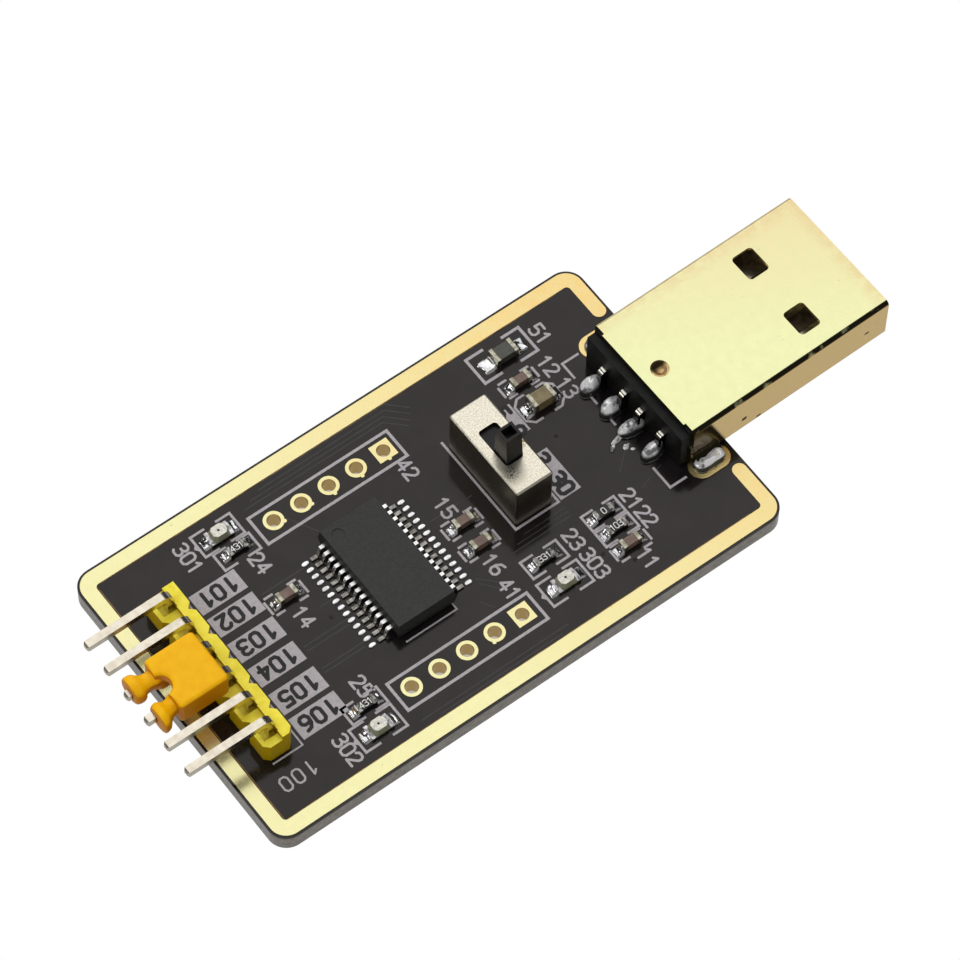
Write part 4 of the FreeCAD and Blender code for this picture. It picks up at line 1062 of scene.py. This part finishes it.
# Tracks that show faintly through the mask. Fanned ones turn by 45 degrees at their end and level
# ones don't: y, x from and to. Slanted ones: x and y from, x and y to
FAN_TURN = 1.4
FANNED_TRACKS = ((19.35, -1.2, 11.6), (19.75, -0.4, 11.9), (20.15, 0.6, 12.3), (20.6, 1.4, 12.6))
LEVEL_TRACKS = (
    (12.75, -4.4, -0.5), (9.35, -1.4, -0.4), (7.35, -4.4, -0.4), (6.9, -4.4, -0.6),
    (5.1, -4.4, -0.6), (4.7, -4.4, -0.8), (-2.7, -1.0, 12.4), (-3.1, 0.4, 11.6),
    (10.3, 9.4, 13.2), (4.9, 13.5, 18.2), (4.5, 12.6, 18.2), (5.3, 14.4, 18.2),
)
SLANTED_TRACKS = (
    (9.2, 4.4, 10.6, 3.0), (9.2, 3.9, 10.2, 2.6), (8.3, 2.6, 8.9, 1.6), (25.6, 7.2, 23.4, 5.3),
    (26.3, 4.0, 23.9, 3.2), (0.85, 17.0, 2.3, 14.4),
)
TRACK_W = 0.12
SLANTED_TRACK_W = 0.1


def build_tracks():
    lines = [
        ([(x0, y), (x1, y), (x1 + FAN_TURN, y - FAN_TURN)], TRACK_W) for y, x0, x1 in FANNED_TRACKS
    ]
    lines += [([(x0, y), (x1, y)], TRACK_W) for y, x0, x1 in LEVEL_TRACKS]
    lines += [([(x0, y0), (x1, y1)], SLANTED_TRACK_W) for x0, y0, x1, y1 in SLANTED_TRACKS]
    tracks = new_shape()
    for path, width in lines:
        pen(tracks, path, width, 0.0, PAINT_T)
    piece("tracks", tracks, "track")


TENTED_HOLES = ((-1.34, 8.2), (21.42, 10.64), (18.1, 0.46), (19.71, -1.36))


def build_tented_holes():
    radius = 0.17
    proud = 0.012
    holes = new_shape()
    for x, y in TENTED_HOLES:
        prism(holes, circle(x, y, radius, 16), 0.0, proud)
    piece("tented_holes", holes, "pit")


def build_copper_edge():
    """The raw edge of the copper round the board, open at the plug."""
    width = 0.07
    proud = 0.03
    rim = new_shape()
    corners = rectangle(BOARD_PIN_END, BOARD_PLUG_END, BOARD_NEAR, BOARD_FAR)
    pen(rim, [corners[2], corners[3], corners[0], corners[1]], width, 0.0, proud)
    piece("copper_edge", rim, "copper_edge")


# Rings of the punched pit from its rim inwards: radius and height
DIMPLE_PROFILE = (
    (0.74, 0.002), (0.68, 0.006), (0.6, 0.004), (0.53, -0.04),
    (0.42, -0.13), (0.28, -0.21), (0.14, -0.25), (0.05, -0.26),
)


def build_dimple():
    """A round pit inside the one that is drawn with flats, with a soft rim."""
    rows = [
        [(x, y, DIMPLE_TOP + rise) for x, y in circle(*DIMPLE, radius)]
        for radius, rise in DIMPLE_PROFILE
    ]
    piece("plug_dimple", skin(rows, closed_start=False), "pit_gold", smooth=True)


def rounded_plate(outline, z0, z1, radius, steps=6):
    """A plate with soft edges. The outline's points each carry the direction out of the plate."""
    levels = []
    for k in range(steps + 1):
        a = math.radians(90 * k / steps)
        levels.append((z0 + radius * (1 - math.cos(a)), radius * (1 - math.sin(a))))
    levels += [(z0 + z1 - z, inset) for z, inset in reversed(levels)]
    return skin(
        [[(x - nx * inset, y - ny * inset, z) for x, y, nx, ny in outline] for z, inset in levels]
    )


def corner_points(x, y, radius, start, end, sign=1, steps=8):
    """An arc of an outline; sign is -1 where the plate is outside the arc."""
    arc = []
    for k in range(steps + 1):
        a = math.radians(start + (end - start) * k / steps)
        dx = math.cos(a)
        dy = math.sin(a)
        arc.append((x + radius * dx, y + radius * dy, sign * dx, sign * dy))
    return arc


def turned_post(x, y, z, profile, lean, count=32):
    """A round post along -X. The profile gives radii at distances from x; its free end leans
    sideways by lean times the distance."""
    rows = []
    for distance, radius in profile:
        middle = y + lean * max(distance, 0.0)
        turns = [2 * math.pi * i / count for i in range(count)]
        rows.append(
            [(x - distance, middle - radius * math.sin(a), z + radius * math.cos(a)) for a in turns]
        )
    return skin(rows)


def box_shape(x0, x1, y0, y1, z0, z1):
    shape = new_shape()
    prism(shape, rectangle(x0, x1, y0, y1), z0, z1)
    return shape


def join_and_cut(target, joined, cutters, sharp_angle):
    """Merges shapes into the target, then cuts others out of it."""
    tools = []
    for operation, shapes in (("UNION", joined), ("DIFFERENCE", cutters)):
        for shape in shapes:
            tool = new_object("loose", shape)
            step = target.modifiers.new("step", "BOOLEAN")
            step.operation = operation
            step.solver = "EXACT"
            step.object = tool
            tools.append(tool)
    graph = bpy.context.evaluated_depsgraph_get()
    mesh = bpy.data.meshes.new_from_object(target.evaluated_get(graph))
    target.modifiers.clear()
    target.data = mesh
    for tool in tools:
        bpy.data.objects.remove(tool)
    mesh.shade_smooth()
    mesh.set_sharp_from_angle(angle=math.radians(sharp_angle))


# A post of the jumper cap: how far along, as a share of its reach, and the radius there
POST_PROFILE = (
    (-0.3, 0.7), (0.0, 0.78), (0.08, 0.72), (0.25, 0.72), (0.4, 0.8), (0.53, 0.98),
    (0.62, 1.1), (0.7, 1.15), (0.86, 1.15), (0.94, 1.1), (0.98, 1.0), (1.0, 0.8),
)
# Each post's side, reach and lean
POSTS = ((-1, 1.6, 0.3), (1, 1.94, 0.08))
# The cap's hollows: x from and to, half width, z from and to
HOLLOWS = ((-14.9, -11.0, 1.82, 3.01, 4.33), (-17.0, -13.9, 0.72, 1.0, 4.12))
BORE_X = (-18.5, -11.0)


def jumper_outline():
    """Four soft corners, with a bite out of the side that the posts stand on."""
    r = JUMPER_CORNER
    right = JUMPER_RIGHT - r
    left = JUMPER_LEFT + r
    low = JUMPER_Y - JUMPER_HALF_Y + r
    high = JUMPER_Y + JUMPER_HALF_Y - r
    outline = corner_points(right, low, r, -90, 0) + corner_points(right, high, r, 0, 90)
    outline += corner_points(left, high, r, 90, 180)
    turn = NOTCH_HALF_ANGLE
    outline += corner_points(NOTCH_X, JUMPER_Y, NOTCH_R, turn, -turn, sign=-1, steps=20)
    outline += corner_points(left, low, r, 180, 270)
    return outline


def build_jumper():
    """The jumper cap with soft edges, its two posts splayed a little by wear."""
    z0 = JUMPER_Z - JUMPER_HALF_Z
    z1 = JUMPER_Z + JUMPER_HALF_Z
    block = rounded_plate(jumper_outline(), z0, z1, JUMPER_EDGE)
    housing = piece(
        "jumper_cap", block, "jumper_plastic", "jumper", ("jumper_housing",)
    )
    cutters = [
        box_shape(x0, x1, JUMPER_Y - half_y, JUMPER_Y + half_y, low, high)
        for x0, x1, half_y, low, high in HOLLOWS
    ]
    posts = []
    for side, reach, lean in POSTS:
        y = JUMPER_Y + side * PITCH / 2
        steps = [(share * reach, radius) for share, radius in POST_PROFILE]
        posts.append(turned_post(JUMPER_LEFT, y, JUMPER_Z, steps, side * lean))
        sides = (y - PIN_BORE, y + PIN_BORE, JUMPER_Z - PIN_BORE, JUMPER_Z + PIN_BORE)
        cutters.append(box_shape(*BORE_X, *sides))
    join_and_cut(housing, posts, cutters, sharp_angle=40)


make_finishes()
paint_nodes()
build_silkscreen()
build_labels()
build_holes()
build_tab_pads()
build_component_solder()
build_chip_solder()
build_contact_solder()
build_tab_solder()
build_resistor_codes()
build_led_dies()
build_tracks()
build_tented_holes()
build_copper_edge()
build_dimple()
build_jumper()


# Studio: a white table and backdrop for the camera, a wide soft light above and behind


def light_path(tree, *kinds):
    """1 for rays of any of these kinds, else 0."""
    path = add_node(tree, "LightPath", {})
    value = path.outputs[kinds[0]]
    for kind in kinds[1:]:
        value = math_node(tree, "MAXIMUM", value, path.outputs[kind])
    return value


def shader_switch(tree, factor, first, second):
    """first where factor is 0 and second where it is 1."""
    return add_node(tree, "MixShader", {0: factor, 1: first, 2: second}).outputs["Shader"]


def glow(tree, kind, strength, colour=WHITE + (1,)):
    """A shader that shines by itself."""
    return add_node(tree, kind, {"Color": colour, "Strength": strength}).outputs[0]


def three_ways(tree, lit, mirrored, seen):
    """lit for soft light, mirrored for reflections and seen for the camera."""
    away = shader_switch(tree, light_path(tree, "Is Glossy Ray"), lit, mirrored)
    return shader_switch(tree, light_path(tree, "Is Camera Ray", "Is Transmission Ray"), away, seen)


def build_world():
    """White for the camera, a dim room for soft light, and for reflections a room that is dark
    behind the part and paler in front of it."""
    world = bpy.data.worlds.new("studio")
    scene.world = world
    world.use_nodes = True
    tree = world.node_tree
    tree.nodes.clear()
    room = glow(tree, "Background", ROOM_LIGHT)
    heading = add_node(tree, "TexCoord", {}).outputs["Generated"]
    shades = [(level, level, level) for level in (ROOM_REFLECTION, FRONT_REFLECTION)]
    gradient = mixed(tree, ramp(tree, heading, "Y", 0.0, -0.4), *shades)
    mirrored = glow(tree, "Background", 1.0, gradient)
    surface = three_ways(tree, room, mirrored, glow(tree, "Background", 1.0))
    add_node(tree, "OutputWorld", {"Surface": surface})


def build_floor():
    """White for the camera, shaded where it shows through the board; a pale table for light."""
    bpy.ops.mesh.primitive_plane_add(size=1.2)
    floor = bpy.context.object
    floor.name = "floor"
    material = bpy.data.materials.new("floor")
    material.use_nodes = True
    tree = material.node_tree
    tree.nodes.clear()
    own = add_node(tree, "TexCoord", {}).outputs["Object"]
    shares = []
    for axis, middle, inner, outer in (("X", -8.0, 9.0, 11.0), ("Y", 0.0, 10.5, 12.0)):
        offset = math_node(tree, "SUBTRACT", axis_value(tree, own, axis), middle * MM)
        shares.append(spread(tree, math_node(tree, "ABSOLUTE", offset), outer * MM, inner * MM))
    seen = glow(tree, "Emission", 1.0, stained(tree, WHITE, UNDER_BOARD, *shares))
    mirrored = glow(tree, "Emission", TABLE_REFLECTION)
    matt = add_node(tree, "BsdfDiffuse", {"Color": TABLE_COLOUR}).outputs["BSDF"]
    add_node(tree, "OutputMaterial", {"Surface": three_ways(tree, matt, mirrored, seen)})
    floor.data.materials.append(material)


def soft_light(name, place, aim, size, radiance):
    """A square light that faces aim and looks as bright as radiance."""
    data = bpy.data.lights.new(name, "AREA")
    data.shape = "SQUARE"
    data.size = size
    data.energy = radiance * math.pi * size * size
    light = bpy.data.objects.new(name, data)
    light.location = place
    light.rotation_euler = (Vector(place) - Vector(aim)).to_track_quat("Z", "Y").to_euler()
    bpy.context.collection.objects.link(light)


# Lights in metres: place, what it faces, size and radiance
LIGHTS = (
    ("panel_above", (0.25, 0.62, 0.8), (0.25, 0.62, 0.0), 1.3, 1.12),
    ("panel_behind", (0.38, 1.15, 0.4), (0.0, 0.0, 0.0), 0.7, 0.75),
    ("strip_left", (-0.5, 0.15, 0.3), (0.0, 0.0, 0.0), 0.2, 3.0),
)

scene.view_settings.view_transform = "Standard"
aim_camera()
build_world()
build_floor()
for light in LIGHTS:
    soft_light(*light)
